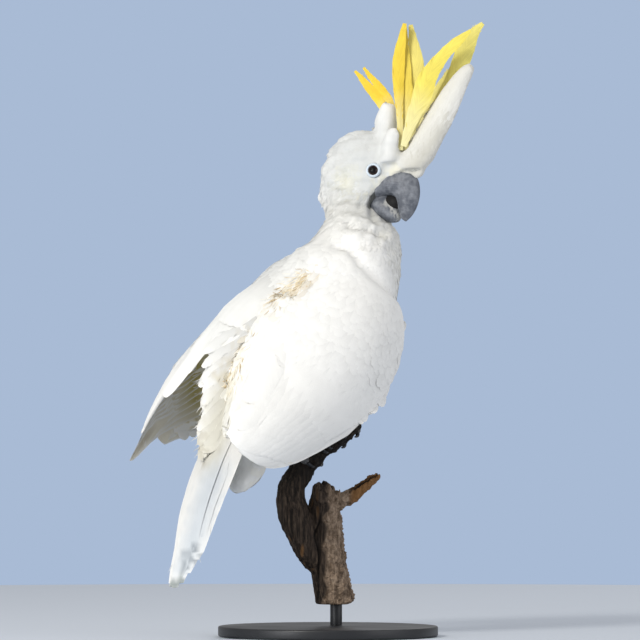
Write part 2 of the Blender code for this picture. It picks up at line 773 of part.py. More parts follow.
def tapered_tube(name, points, radii, finish, count=8, helper=False):
    """A round tube through the points."""
    rings = []
    for i, centre in enumerate(points):
        along = (points[min(i + 1, len(points) - 1)] - points[max(i - 1, 0)]).normalized()
        side = along.cross(UP if abs(along.z) < 0.9 else LEFT).normalized()
        rings.append(ellipse(centre, side * radii[i], side.cross(along) * radii[i], count))
    return loft(name, rings, finish, helper)


def make_leg(word, side, perch, trunk):
    """Feathered thigh, scaly foot with two toes before and two behind, and a claw on each toe."""
    centre, along, over, radius = perch_axis(FEET_AT[word])
    ankle = centre + over * (radius + 2.0 * TOE_RADIUS)
    knee = ankle + Vector((-0.010, side * 0.003, 0.022))
    shank = tapered_tube(
        "shank", [knee, knee.lerp(ankle, 0.5), ankle, ankle - over * 0.005], [0.0056, 0.0054, 0.0064, 0.0058],
        None, helper=True,
    )
    toe_radii = [TOE_RADIUS * share for share in (1.05, 1.15, 1.05, 1.12, 1.02, 1.08, 0.85)]
    toe_angles = [TOE_WRAP * i / 6 for i in range(7)]
    claw_radii = [0.0022, 0.0026, 0.0021, 0.0014, 0.0006]
    claw_angles = [TOE_WRAP - 0.12 + (CLAW_WRAP + 0.12) * i / 4 for i in range(5)]
    toes, claws = [shank], []
    for way, shift_sign, number in ((1, 1, 2), (1, -1, 3), (-1, 1, 1), (-1, -1, 4)):
        shift = shift_sign * TOE_SPLAY
        lifts = [radius_here - 0.0008 for radius_here in toe_radii]
        line = wrapped_line(perch, centre, along, over, shift, way, toe_angles, lifts)
        toes.append(tapered_tube("toe", line, toe_radii, None, helper=True))
        lifts = [0.0034, 0.0040, 0.0036, 0.0026, 0.0012]
        line = wrapped_line(perch, centre, along, over, shift, way, claw_angles, lifts)
        claws.append(tapered_tube("claw_%s_%d" % (word, number), line, claw_radii, "foot_grey", 5))
    whole = fused("foot", toes, voxel=0.0011, rounds=2)
    foot = new_object("foot_" + word, baked(thinned(whole, 300)), "foot_grey")
    thigh = tapered_tube(
        "thigh_" + word,
        [knee + Vector((-0.016, 0.0, 0.026)), knee + Vector((-0.008, 0.0, 0.012)), knee,
         knee.lerp(ankle, 0.38), knee.lerp(ankle, 0.66)],
        [0.016, 0.020, 0.017, 0.0125, 0.0082], "feather_white", 12,
    )
    thigh = carved(thigh, [trunk])
    foot = carved(foot, [perch, thigh, trunk])
    claws = [carved(claw, [foot]) for claw in claws]
    return thigh, foot, claws


def make_stand():
    """The round base and the rod that holds the branch."""
    bpy.ops.mesh.primitive_cylinder_add(
        vertices=40, radius=BASE_RADIUS, depth=BASE_HEIGHT, location=(0, 0, BASE_HEIGHT / 2)
    )
    base = bpy.context.object
    edge = base.modifiers.new("eased edge", "BEVEL")
    edge.width = 0.0015
    edge.segments = 1
    edge.limit_method = "ANGLE"
    centre = Vector(PERCH_TRUNK[0].centre)
    length = PERCH_CUT - BASE_HEIGHT - 2 * GAP
    bpy.ops.mesh.primitive_cylinder_add(
        vertices=24, radius=ROD_RADIUS, depth=length,
        location=(centre.x, centre.y, BASE_HEIGHT + GAP + length / 2),
    )
    rod = bpy.context.object
    for obj, name in ((base, "stand_base"), (rod, "stand_rod")):
        obj.name = name
        obj.data.name = name
        obj.data.materials.append(finish_named("stand_black"))
        bpy.context.collection.objects.unlink(obj)
        PARTS.objects.link(obj)


def make_plumage(trunk, neck, head, bills):
    """Wings, tail and crest, each fitted to what it grows from."""
    wings = make_wings()
    left_coverts = carved(wings["wing_left_coverts"], [trunk, neck], 2 * GAP)
    left_flight = carved(wings["wing_left_flight"], [trunk], 2 * GAP)
    carved(wings["wing_right_coverts"], [trunk, neck], 2 * GAP)
    right_flight = carved(wings["wing_right_flight"], [trunk], 2 * GAP)
    tail = carved(make_vane(TAIL), [trunk, right_flight])
    carved(make_vane(LEFT_TERTIALS), [trunk, left_coverts, left_flight, tail], 2 * GAP)
    done = []
    for vane in CREST_VANES:
        done.append(carved(make_vane(vane, head_matrix()), [head, *bills, *done]))


def shade_smooth():
    """Smooth shading with hard edges kept, on every part."""
    for obj in PARTS.objects:
        obj.data.shade_smooth()
        obj.data.set_sharp_from_angle(angle=math.radians(50))


def main():
    """Build the bird, its perch and its stand."""
    trunk, neck, head = make_flesh()
    eyes, lids = make_eyes(head)
    head = carved(head, eyes)
    for lid_ring, eye in zip(lids, eyes):
        carved(lid_ring, [head, eye])
    upper, lower = make_bill()
    upper = carved(upper, [head, neck])
    lower = carved(lower, [head, neck, upper])
    make_plumage(trunk, neck, head, [upper, lower])
    perch = make_perch()
    make_leg("left", 1, perch, trunk)
    make_leg("right", -1, perch, trunk)
    make_stand()
    shade_smooth()
    for helper in list(HELPERS.objects):
        bpy.data.objects.remove(helper)


main()
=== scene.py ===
"""The finished look of a life-size white cockatoo with a raised yellow crest, gripping a cut dead branch.

Metres, +Z up. The bird faces +X and its left is +Y. The head has a frame of its own: forward, left and up
from midway between the eyes. Tables of places and sizes are in millimetres, which metres() turns to metres.
"""

import logging
import math
from dataclasses import dataclass
from enum import Enum
from typing import Callable, Optional, Sequence

import bmesh
import bpy
import numpy as np
from bpy.types import ID, Material, Mesh, Node, NodeSocket, NodeTree, Object, bpy_prop_collection
from mathutils import Euler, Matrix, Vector
from mathutils.bvhtree import BVHTree
from mathutils.kdtree import KDTree
from numpy import ndarray as Array
from numpy.random import Generator, default_rng


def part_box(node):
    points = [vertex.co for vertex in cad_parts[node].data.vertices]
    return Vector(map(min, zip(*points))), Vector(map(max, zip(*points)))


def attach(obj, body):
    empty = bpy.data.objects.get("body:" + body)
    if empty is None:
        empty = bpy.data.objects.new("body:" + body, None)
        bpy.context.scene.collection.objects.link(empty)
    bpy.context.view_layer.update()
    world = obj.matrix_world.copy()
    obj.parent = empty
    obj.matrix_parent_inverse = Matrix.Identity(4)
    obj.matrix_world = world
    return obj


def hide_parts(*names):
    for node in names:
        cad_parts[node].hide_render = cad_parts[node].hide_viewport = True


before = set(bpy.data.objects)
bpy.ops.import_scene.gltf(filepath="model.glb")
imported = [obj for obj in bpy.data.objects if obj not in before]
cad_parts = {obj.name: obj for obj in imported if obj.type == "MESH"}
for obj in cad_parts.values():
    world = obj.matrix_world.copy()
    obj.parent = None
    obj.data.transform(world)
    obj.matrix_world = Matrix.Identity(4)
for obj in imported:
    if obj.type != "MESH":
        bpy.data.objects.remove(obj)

log = logging.getLogger("cockatoo")

MM = 0.001

HEAD_AT = np.array((0.058, -0.006, 0.466))
HEAD_TURN = math.radians(-74.0)
HEAD_AXES = np.array((
    (math.cos(HEAD_TURN), math.sin(HEAD_TURN), 0.0),
    (-math.sin(HEAD_TURN), math.cos(HEAD_TURN), 0.0),
    (0.0, 0.0, 1.0),
))
EYE_RADIUS = 0.0062
EYE_OUTWARDS = {"left": (0.30, 1.0, 0.06), "right": (0.30, -1.0, 0.06)}  # in the head's frame

BAKE_PATCH = 0.003  # the width of one tuft on the bake's map


class Side(Enum):
    """Which of the bird's own sides."""

    LEFT = "left"
    RIGHT = "right"


# ---------- sums


def unit(vectors: Array) -> Array:
    """The vectors at length one."""
    return vectors / np.maximum(np.linalg.norm(vectors, axis=-1, keepdims=True), 1e-9)


def along_skin(ways: Array, normals: Array) -> Array:
    """The ways laid flat on a surface with these normals."""
    return unit(ways - normals * (ways * normals).sum(axis=1, keepdims=True))


def metres(values: Sequence) -> tuple:
    """Millimetres as metres, however deep the tuples lie."""
    if isinstance(values, (int, float)):
        return round(values * MM, 7)
    return tuple(metres(value) for value in values)


def from_head(points: Sequence) -> Array:
    """Places given in the head's frame, in the world's."""
    return HEAD_AT + np.asarray(points, float) @ HEAD_AXES


def turned_from_head(ways: Sequence) -> Array:
    """Directions given in the head's frame, in the world's."""
    return np.asarray(ways, float) @ HEAD_AXES


def smoothed(values: Sequence, steps: int) -> Array:
    """A smooth track through the values.

    Args:
        values: Numbers or points, in order.
        steps: How many steps there are from each value to the next.

    Returns:
        The track, one row for each step, with the last value at its end.
    """
    points = np.asarray(values, float)
    flat = points.ndim == 1
    if flat:
        points = points[:, None]
    padded = np.concatenate([points[:1], points, points[-1:]])
    t = (np.arange(steps) / steps)[:, None]
    rows = []
    for a, b, c, d in zip(padded, padded[1:], padded[2:], padded[3:]):
        square, cube = 2 * a - 5 * b + 4 * c - d, 3 * b - a - 3 * c + d
        rows.append(0.5 * (2 * b + (c - a) * t + square * t**2 + cube * t**3))
    track = np.concatenate(rows + [points[-1:]])
    return track[:, 0] if flat else track


def distance_to(line: Sequence, points: Array) -> Array:
    """How far each point is from a smooth track through the line's places."""
    track = smoothed(line, 6)
    return np.min(np.linalg.norm(points[:, None] - track[None], axis=2), axis=1)


def near_tree(points: Array) -> KDTree:
    """A tree that finds which of the points are near a place."""
    tree = KDTree(len(points))
    for i, point in enumerate(points.tolist()):
        tree.insert(point, i)
    tree.balance()
    return tree


def read_track(track: Array, places: Array) -> Array:
    """The track's values at shares of its length from 0 to 1."""
    at = np.clip(places, 0.0, 1.0) * (len(track) - 1)
    low = np.minimum(at.astype(int), len(track) - 2)
    share = at - low
    if track.ndim > 1:
        share = share[..., None]
    return track[low] * (1 - share) + track[low + 1] * share


def ripple(points: Array, size: float, seed: int = 0, waves: int = 9) -> Array:
    """A smooth random field, from about -1 to 1.

    Args:
        points: Where it is read, one row each.
        size: The usual distance from one crest to the next, in metres.
        seed: Which field.
        waves: How many plane waves it is the sum of.

    Returns:
        One value for each point.
    """
    rng = default_rng(1000 + seed)
    ways = unit(rng.normal(size=(waves, 3))) * rng.uniform(0.6, 1.6, (waves, 1))
    phases = rng.uniform(0, 2 * math.pi, waves)
    return np.sin(points @ ways.T * (2 * math.pi / size) + phases).sum(axis=1) / math.sqrt(waves)


def to_linear(code: str) -> tuple[float, float, float]:
    """A colour written as an sRGB hex code, as linear light."""
    parts = [int(code.lstrip("#")[i:i + 2], 16) / 255 for i in (0, 2, 4)]
    return tuple(part / 12.92 if part <= 0.04045 else ((part + 0.055) / 1.055) ** 2.4 for part in parts)


# ---------- finishes


def rgba(code: str) -> tuple[float, float, float, float]:
    """An opaque colour for a socket."""
    return (*to_linear(code), 1.0)


def fill(node: Node, inputs: dict | Sequence) -> Node:
    """Give a node's inputs what they hold.

    Args:
        node: The node.
        inputs: For each input, by its name or in their order, a value, a hex colour, an output to link,
            or a node, whose first output in use is linked.

    Returns:
        The node.
    """
    for name, value in (inputs.items() if isinstance(inputs, dict) else enumerate(inputs)):
        if isinstance(value, Node):
            value = next(output for output in value.outputs if output.enabled)
        if isinstance(value, str):
            value = rgba(value)
        if isinstance(value, NodeSocket):
            node.id_data.links.new(value, node.inputs[name])
        else:
            node.inputs[name].default_value = value
    return node


def add_node(tree: NodeTree, kind: str, inputs: dict | Sequence = (), **settings) -> Node:
    """Add one node to a material.

    Args:
        tree: The material's node tree.
        kind: The node's Blender name, without the "ShaderNode" in front.
        inputs: What its inputs hold, as fill takes them.
        **settings: The node's own settings.

    Returns:
        The node.
    """
    node = tree.nodes.new("ShaderNode" + kind)
    for name, value in settings.items():
        setattr(node, name, value)
    return fill(node, inputs)


@dataclass(frozen=True)
class Finish:
    """What every finish has: a name, and a pattern of its own that drives one Principled shader."""

    name: str

    def make(self) -> Material:
        """Build the material."""
        material = bpy.data.materials.new(self.name)
        material.use_nodes = True
        tree = material.node_tree
        fill(tree.nodes["Principled BSDF"], self.pattern(tree, add_node(tree, "TexCoord").outputs["Object"]))
        return material

    def pattern(self, tree: NodeTree, place: NodeSocket) -> dict:
        """Add the finish's own nodes from the place on the object, and say what the shader's inputs hold."""
        raise NotImplementedError


@dataclass(frozen=True)
class PlumageFinish(Finish):
    """Feather: keratin barbs, matt and a little translucent, that carry the bird's own markings and the
    painted shade on them.
    """

    mottle_mm: float = 16.0  # soft patches of wear and light
    barb_mm: float = 1.6  # real barbs lie 0.4 mm apart, too fine to show, so they are drawn in bunches
    roughness: float = 0.72
    barb_depth: float = 0.12
    streaks: float = 0.0  # for long feathers: how strongly bunches of barbs show, slanting out from the shaft

    def pattern(self, tree: NodeTree, place: NodeSocket) -> dict:
        """The nodes and what the shader takes from them."""
        tone = add_node(tree, "Attribute", attribute_name="tone").outputs["Color"]
        mottle = add_node(tree, "TexNoise", {
            "Vector": place, "Scale": 1 / (self.mottle_mm * MM), "Detail": 4.0,
        })
        worn = add_node(tree, "MapRange", (mottle, 0.35, 0.7, 0.95, 1.0))
        colour = add_node(tree, "VectorMath", (tone, worn), operation="MULTIPLY")
        barbs = add_node(tree, "TexNoise", {"Vector": place, "Scale": 1 / (self.barb_mm * MM), "Detail": 3.0})
        height, depth = barbs, self.barb_depth
        if self.streaks:
            height, depth = self.slanting(tree), self.streaks
            tint = add_node(tree, "MapRange", (height, 0.3, 0.62, 1 - 0.3 * self.streaks))
            colour = add_node(tree, "VectorMath", (colour, tint), operation="MULTIPLY")
        bump = add_node(tree, "Bump", {"Height": height, "Strength": depth, "Distance": 0.0006})
        return {
            "Base Color": colour, "Normal": bump, "Roughness": self.roughness, "Specular IOR Level": 0.30,
            "Sheen Weight": 0.12, "Sheen Roughness": 0.5,
        }

    @staticmethod
    def slanting(tree: NodeTree) -> Node:
        """Lines that run up and out from the shaft, in the feather's own across and along."""
        vane = add_node(tree, "SeparateXYZ", {"Vector": add_node(tree, "UVMap", uv_map="Vane")})
        across, along = vane.outputs["X"], vane.outputs["Y"]
        off = add_node(tree, "Math", (across, 0.5), operation="SUBTRACT")
        away = add_node(tree, "Math", (off,), operation="ABSOLUTE")
        slant = add_node(tree, "Math", (away, -0.34, along), operation="MULTIPLY_ADD")
        place = add_node(tree, "CombineXYZ", {"X": across, "Y": slant})
        stretch = add_node(tree, "Mapping", {"Vector": place, "Scale": (2.2, 34.0, 1.0)})
        return add_node(tree, "TexNoise", {"Vector": stretch, "Scale": 1.0, "Detail": 4.0})


@dataclass(frozen=True)
class HornFinish(Finish):
    """Keratin horn, grown in thin layers: dark, with a dusty bloom and fine growth lines."""

    dark: str
    bloom: str
    dust: float = 0.5
    layer_mm: float = 2.2
    roughness: float = 0.42

    def pattern(self, tree: NodeTree, place: NodeSocket) -> dict:
        """The nodes and what the shader takes from them."""
        patches = add_node(tree, "TexNoise", {
            "Vector": place, "Scale": 1 / (7 * MM), "Detail": 5.0, "Roughness": 0.6,
        })
        layers = add_node(tree, "TexWave", {
            "Vector": place, "Scale": 0.314 / (self.layer_mm * MM), "Distortion": 5.0, "Detail": 3.0,
            "Detail Scale": 1.6,
        }, bands_direction="Z")
        dusty = add_node(tree, "MapRange", (patches, 0.42, 0.68, 0.0, self.dust))
        colour = add_node(tree, "Mix", {"Factor": dusty, "A": self.dark, "B": self.bloom}, data_type="RGBA")
        worn = add_node(tree, "Attribute", attribute_name="worn").outputs["Fac"]
        flaked = add_node(tree, "Mix", {"Factor": worn, "A": colour, "B": "#B4B3AE"}, data_type="RGBA")
        rough = add_node(tree, "MapRange", (patches, 0.3, 0.7, self.roughness - 0.1, self.roughness + 0.22))
        height = add_node(tree, "Math", (layers.outputs["Fac"], patches), operation="ADD")
        bump = add_node(tree, "Bump", {"Height": height, "Strength": 0.22, "Distance": 0.0004})
        return {"Base Color": flaked, "Normal": bump, "Roughness": rough, "Specular IOR Level": 0.45}


@dataclass(frozen=True)
class ScaleFinish(Finish):
    """The feet's scaly skin: small rounded scutes with pale dust between them."""

    scale: str = "#2B2C30"
    crease: str = "#6C6B6A"
    scute_mm: float = 1.7

    def pattern(self, tree: NodeTree, place: NodeSocket) -> dict:
        """The nodes and what the shader takes from them."""
        scutes = add_node(tree, "TexVoronoi", {
            "Vector": place, "Scale": 1 / (self.scute_mm * MM),
        }, feature="DISTANCE_TO_EDGE")
        edge = add_node(tree, "MapRange", (scutes, 0.02, 0.16))
        grime = add_node(tree, "TexNoise", {"Vector": place, "Scale": 1 / (6 * MM), "Detail": 4.0})
        share = add_node(tree, "Math", (edge, grime), operation="MULTIPLY")
        lighter = add_node(tree, "MapRange", (share, 0.05, 0.5))
        colour = add_node(tree, "Mix", {
            "Factor": lighter, "A": self.crease, "B": self.scale,
        }, data_type="RGBA")
        bump = add_node(tree, "Bump", {"Height": edge, "Strength": 0.7, "Distance": 0.0005})
        return {"Base Color": colour, "Normal": bump, "Roughness": 0.55}


@dataclass(frozen=True)
class EyeFinish(Finish):
    """A wet glass-like eye: black pupil in a very dark brown iris, glossy with tears."""

    iris: str = "#2A1711"
    pupil: str = "#050404"

    def pattern(self, tree: NodeTree, place: NodeSocket) -> dict:
        """The nodes and what the shader takes from them."""
        ring = add_node(tree, "Attribute", attribute_name="ring").outputs["Fac"]
        edge = add_node(tree, "MapRange", (ring, 0.50, 0.62))
        colour = add_node(tree, "Mix", {"Factor": edge, "A": self.pupil, "B": self.iris}, data_type="RGBA")
        return {"Base Color": colour, "Roughness": 0.09, "Specular IOR Level": 0.28}


@dataclass(frozen=True)
class LidFinish(Finish):
    """Bare skin round the eye: pale blue-white, finely wrinkled."""

    pale: str = "#EDF3F7"
    shade: str = "#C4D4E2"
    wrinkle_mm: float = 0.9

    def pattern(self, tree: NodeTree, place: NodeSocket) -> dict:
        """The nodes and what the shader takes from them."""
        wrinkles = add_node(tree, "TexVoronoi", {
            "Vector": place, "Scale": 1 / (self.wrinkle_mm * MM),
        }, feature="DISTANCE_TO_EDGE")
        deep = add_node(tree, "MapRange", (wrinkles, 0.0, 0.3))
        # painted shade: the wrinkles' creases darker blue than the skin between them
        colour = add_node(tree, "Mix", {"Factor": deep, "A": self.shade, "B": self.pale}, data_type="RGBA")
        bump = add_node(tree, "Bump", {"Height": deep, "Strength": 0.4, "Distance": 0.0003})
        return {"Base Color": colour, "Normal": bump, "Roughness": 0.5}


@dataclass(frozen=True)
class DeadWoodFinish(Finish):
    """Weathered dead branch: bare split wood with long grain on one side, pitted bark on the other."""

    grain_mm: float = 2.4
    pit_mm: float = 5.0

    def pattern(self, tree: NodeTree, place: NodeSocket) -> dict:
        """The nodes and what the shader takes. Three attributes say where bark and fresh wood lie, and where
        the cracks and the top are painted dark.
        """
        stretch = add_node(tree, "Mapping", {"Vector": place, "Scale": (1.0, 1.0, 0.12)})
        grain = add_node(tree, "TexNoise", {
            "Vector": stretch, "Scale": 1 / (self.grain_mm * MM), "Detail": 7.0, "Roughness": 0.65,
        })
        bare = add_node(tree, "ValToRGB", {"Fac": grain})
        self.paint(bare, ((0.30, "#0F0C0A"), (0.46, "#2B231D"), (0.60, "#4B3F35"), (0.76, "#71624F")))
        pits = add_node(tree, "TexVoronoi", {"Vector": place, "Scale": 1 / (self.pit_mm * MM), "Detail": 2.0})
        furrowed = add_node(tree, "Mapping", {"Vector": place, "Scale": (1.0, 1.0, 0.30)})
        lumps = add_node(tree, "TexNoise", {
            "Vector": furrowed, "Scale": 1 / (self.pit_mm * MM), "Detail": 8.0, "Roughness": 0.7,
        })
        rough = add_node(tree, "ValToRGB", {"Fac": lumps})
        self.paint(rough, ((0.30, "#31281F"), (0.45, "#6C5B4B"), (0.58, "#978370"), (0.74, "#B8A791")))
        attributes = (add_node(tree, "Attribute", attribute_name=name) for name in ("bark", "fresh", "crack"))
        bark, fresh, crack = (node.outputs["Fac"] for node in attributes)
        colour = add_node(tree, "Mix", {"Factor": bark, "A": bare, "B": rough}, data_type="RGBA")
        ochre = add_node(tree, "Mix", {"Factor": grain, "A": "#4A2E1B", "B": "#A87B4A"}, data_type="RGBA")
        # near-black where the third attribute says: painted shade in the cracks' recesses, and a darker top
        for share, over in ((fresh, ochre), (crack, "#0B0908")):
            colour = add_node(tree, "Mix", {"Factor": share, "A": colour, "B": over}, data_type="RGBA")
        pitted = add_node(tree, "Math", (lumps, pits), operation="ADD")
        height = add_node(tree, "Mix", {"Factor": bark, "A": grain, "B": pitted}, data_type="FLOAT")
        bump = add_node(tree, "Bump", {"Height": height, "Strength": 0.8, "Distance": 0.0014})
        return {"Base Color": colour, "Normal": bump, "Roughness": 0.85, "Specular IOR Level": 0.25}

    @staticmethod
    def paint(ramp: Node, stops: Sequence[tuple[float, str]]) -> None:
        """Put the stops on a colour ramp."""
        elements = ramp.color_ramp.elements
        while len(elements) > 1:
            elements.remove(elements[-1])
        elements[0].position, elements[0].color = stops[0][0], rgba(stops[0][1])
        for position, code in stops[1:]:
            elements.new(position).color = rgba(code)


@dataclass(frozen=True)
class StandFinish(Finish):
    """Powder-coated steel, satin black, with the coat's fine orange peel."""

    dark: str = "#161719"
    pale: str = "#222327"
    peel_mm: float = 1.2
    handled_mm: float = 60.0

    def pattern(self, tree: NodeTree, place: NodeSocket) -> dict:
        """The nodes and what the shader takes from them."""
        peel = add_node(tree, "TexNoise", {"Vector": place, "Scale": 1 / (self.peel_mm * MM), "Detail": 2.0})
        handled = add_node(tree, "TexNoise", {
            "Vector": place, "Scale": 1 / (self.handled_mm * MM), "Detail": 4.0,
        })
        rough = add_node(tree, "MapRange", (handled, 0.3, 0.7, 0.36, 0.5))
        tint = add_node(tree, "Mix", {"Factor": handled, "A": self.dark, "B": self.pale}, data_type="RGBA")
        bump = add_node(tree, "Bump", {"Height": peel, "Strength": 0.12, "Distance": 0.0002})
        return {"Base Color": tint, "Normal": bump, "Roughness": rough}


# ---------- markings and painted shade


@dataclass(frozen=True)
class Mark:
    """A soft-edged patch of colour along a line of places."""

    line: tuple  # millimetres, as its radius is
    radius: float
    colour: str
    strength: float
    broken: float = 0.4  # how much the edge is frayed
    in_head: bool = False

    def share(self, points: Array) -> Array:
        """How much of the patch's colour each point takes, from 0 to 1."""
        line = np.array(metres(self.line))
        if self.in_head:
            line = from_head(line)
        near = np.full(len(points), np.inf)
        for a, b in zip(line, line[1:] if len(line) > 1 else line):
            run = b - a
            t = np.clip((points - a) @ run / max(run @ run, 1e-9), 0, 1)
            near = np.minimum(near, np.linalg.norm(points - a - t[:, None] * run, axis=1))
        reach = metres(self.radius) * (1 + self.broken * ripple(points, 9 * MM, 7))
        return self.strength * np.clip(1.25 - near / np.maximum(reach, 1e-4), 0, 1) ** 0.8


@dataclass(frozen=True)
class MarkingsAndShade:
    """The colours that the skin and the coat share, as a function of place: the bird's markings and stains,
    with painted shade.
    """

    base: str = "#F3F2EE"
    marks: tuple = (
        # painted shade: the whole head greyer than the body
        Mark(((-10, 0, 10), (10, 0, -10)), 52, "#C4C7C6", 0.85, 0.1, in_head=True),
        # painted shadow: the neck greyed under the head, where the head's shadow falls
        Mark(((-20, 0, -62), (-12, 0, -86)), 46, "#A3A197", 0.8, 0.1, in_head=True),
        # painted shade: the breast's front greyer
        Mark(((62, -10, 380), (66, -10, 300), (30, -10, 232)), 34, "#E2E1D8", 0.75, 0.2),
        # painted shade: the crest's folded white front greyer
        Mark(((45, 0, 10), (108, 0, 101)), 22, "#D6D4CB", 0.8, 0.1, in_head=True),
        # painted shade along the lower edge of the crest's white front on its right side, where it turns away
        # from the light
        Mark(((48, -10, -2), (64, -11, 10), (82, -8, 34)), 12.5, "#C3C0B4", 0.8, 0.05, in_head=True),
        *(Mark(((-16, side * 24, -10),), 12, "#F3EBB4", 0.22, in_head=True) for side in (-1, 1)),
        *(Mark(((30, side * 14, -4), (12, side * 24, -20)), 9, "#EFE8C8", 0.45, in_head=True) for side in
            (-1, 1)),
        Mark(((-36, -15, 366), (-50, -11, 352)), 8, "#D2BC92", 0.6, 0.8),
        Mark(((-62, 0, 336), (-80, 8, 308)), 8, "#E8DAB9", 0.55, 0.8),
        Mark(((-84, 8, 302), (-107, 12, 280), (-124, 13, 257)), 10, "#E6D8B8", 0.6, 0.8),
        # painted shade: a bluish grey down the middle of the tail
        Mark(((-150, -4, 165), (-192, -4, 75)), 20, "#C9D1D8", 0.8, 0.2),
        # painted shade: the upper back greyer on its left side, over the left shoulder
        Mark(((-20, 30, 370), (-90, 55, 300)), 45, "#DCDDDA", 0.8, 0.1),
        Mark(((-118, 12, 250), (-150, 10, 185)), 20, "#DEDAC9", 0.8, 0.2),
        Mark(((-203, 8, 54), (-199, -6, 58)), 7, "#7C8684", 0.85, 0.7),
        Mark(((-188, -8, 74), (-184, -9, 86)), 8, "#78818A", 0.9, 0.6),
        Mark(((-157, 22, 198), (-159, 18, 182)), 10, "#B4AC98", 0.55, 0.6),
        Mark(((-30, -10, 190), (-90, 0, 170)), 20, "#F0EBDA", 0.6),
    )

    def tone(self, points: Array, base: Optional[str] = None) -> Array:
        """The plumage's colour at each point, painted shade included, as linear light."""
        colour = np.tile(to_linear(base or self.base), (len(points), 1))
        for mark in self.marks:
            share = mark.share(points)[:, None]
            colour = colour * (1 - share) + np.array(to_linear(mark.colour)) * share
        return colour


MARKINGS_AND_SHADE = MarkingsAndShade()
UNDER_MARKINGS_AND_SHADE = MarkingsAndShade(base="#EBE5D4", marks=(
    # the underwing's yellow wash, painted a darker olive: the wash is the bird's own, the darkening is
    # painted shade
    Mark(((-75, 100, 290), (-75, 106, 270), (-72, 110, 252), (-66, 112, 241)), 26, "#B5A444", 0.95, 0.3),
    Mark(((-116, 108, 234), (-140, 104, 206), (-172, 99, 184)), 5, "#A79A80", 0.7, 0.3),
))


def on_inner_face(points: Array, normals: Array) -> Array:
    """Whether places lie on the open wing's inner face."""
    u, far = LEFT_SHEET.nearest_u(points)
    away = read_track(LEFT_SHEET.way_out(), u)
    return (far < 0.014) & (u > 0.14) & ((normals * away).sum(axis=1) < -0.6)


def plumage_tone(points: Array, normals: Array) -> Array:
    """The colour of skin and coat: the markings and painted shade, and on the open wing's inner face the
    stained underside, its yellow wash painted darker as in shade.
    """
    inner = on_inner_face(points, normals)[:, None]
    return np.where(inner, UNDER_MARKINGS_AND_SHADE.tone(points), MARKINGS_AND_SHADE.tone(points))


# ---------- vanes


@dataclass(frozen=True)
class VaneShape:
    """The outline of one feather: rows along it, and at each the half width as a share of the whole."""

    along: tuple
    half_width: tuple
    arch: float = 0.055  # how high the middle stands, as a share of the half width
    least: float = 0.00016  # the middle's least height

    @property
    def rows(self) -> int:
        """How many rows there are."""
        return len(self.along)


CONTOUR = VaneShape((0.0, 0.22, 0.58, 0.86, 1.0), (0.42, 0.80, 1.0, 0.84, 0.34))
HAIRLIKE = VaneShape((0.0, 0.35, 0.72, 1.0), (0.55, 1.0, 0.78, 0.14), arch=0.10)
LOOSE = VaneShape((0.0, 0.25, 0.55, 0.82, 1.0), (0.45, 0.90, 1.0, 0.62, 0.10), arch=0.08)
FLAT_RING = (1.0, 0.5, 0.0, 0.5)  # how far across each place round a small feather's row lies


def bands(here: Array, there: Array) -> Array:
    """The four-sided faces between closed rings of vertex numbers and their next ones."""
    return np.stack([here, there, np.roll(there, -1, 1), np.roll(here, -1, 1)], axis=-1).reshape(-1, 4)


def tube_faces(rows: int, around: int) -> Array:
    """The faces of a tube of points, row after row, closed at both ends."""
    grid = np.arange(rows * around).reshape(rows, around)
    caps = [[i, i + 1, around - 2 - i, around - 1 - i] for i in range(around // 2 - 1)]
    return np.concatenate([bands(grid[:-1], grid[1:]), grid[0][caps], grid[-1][caps]])


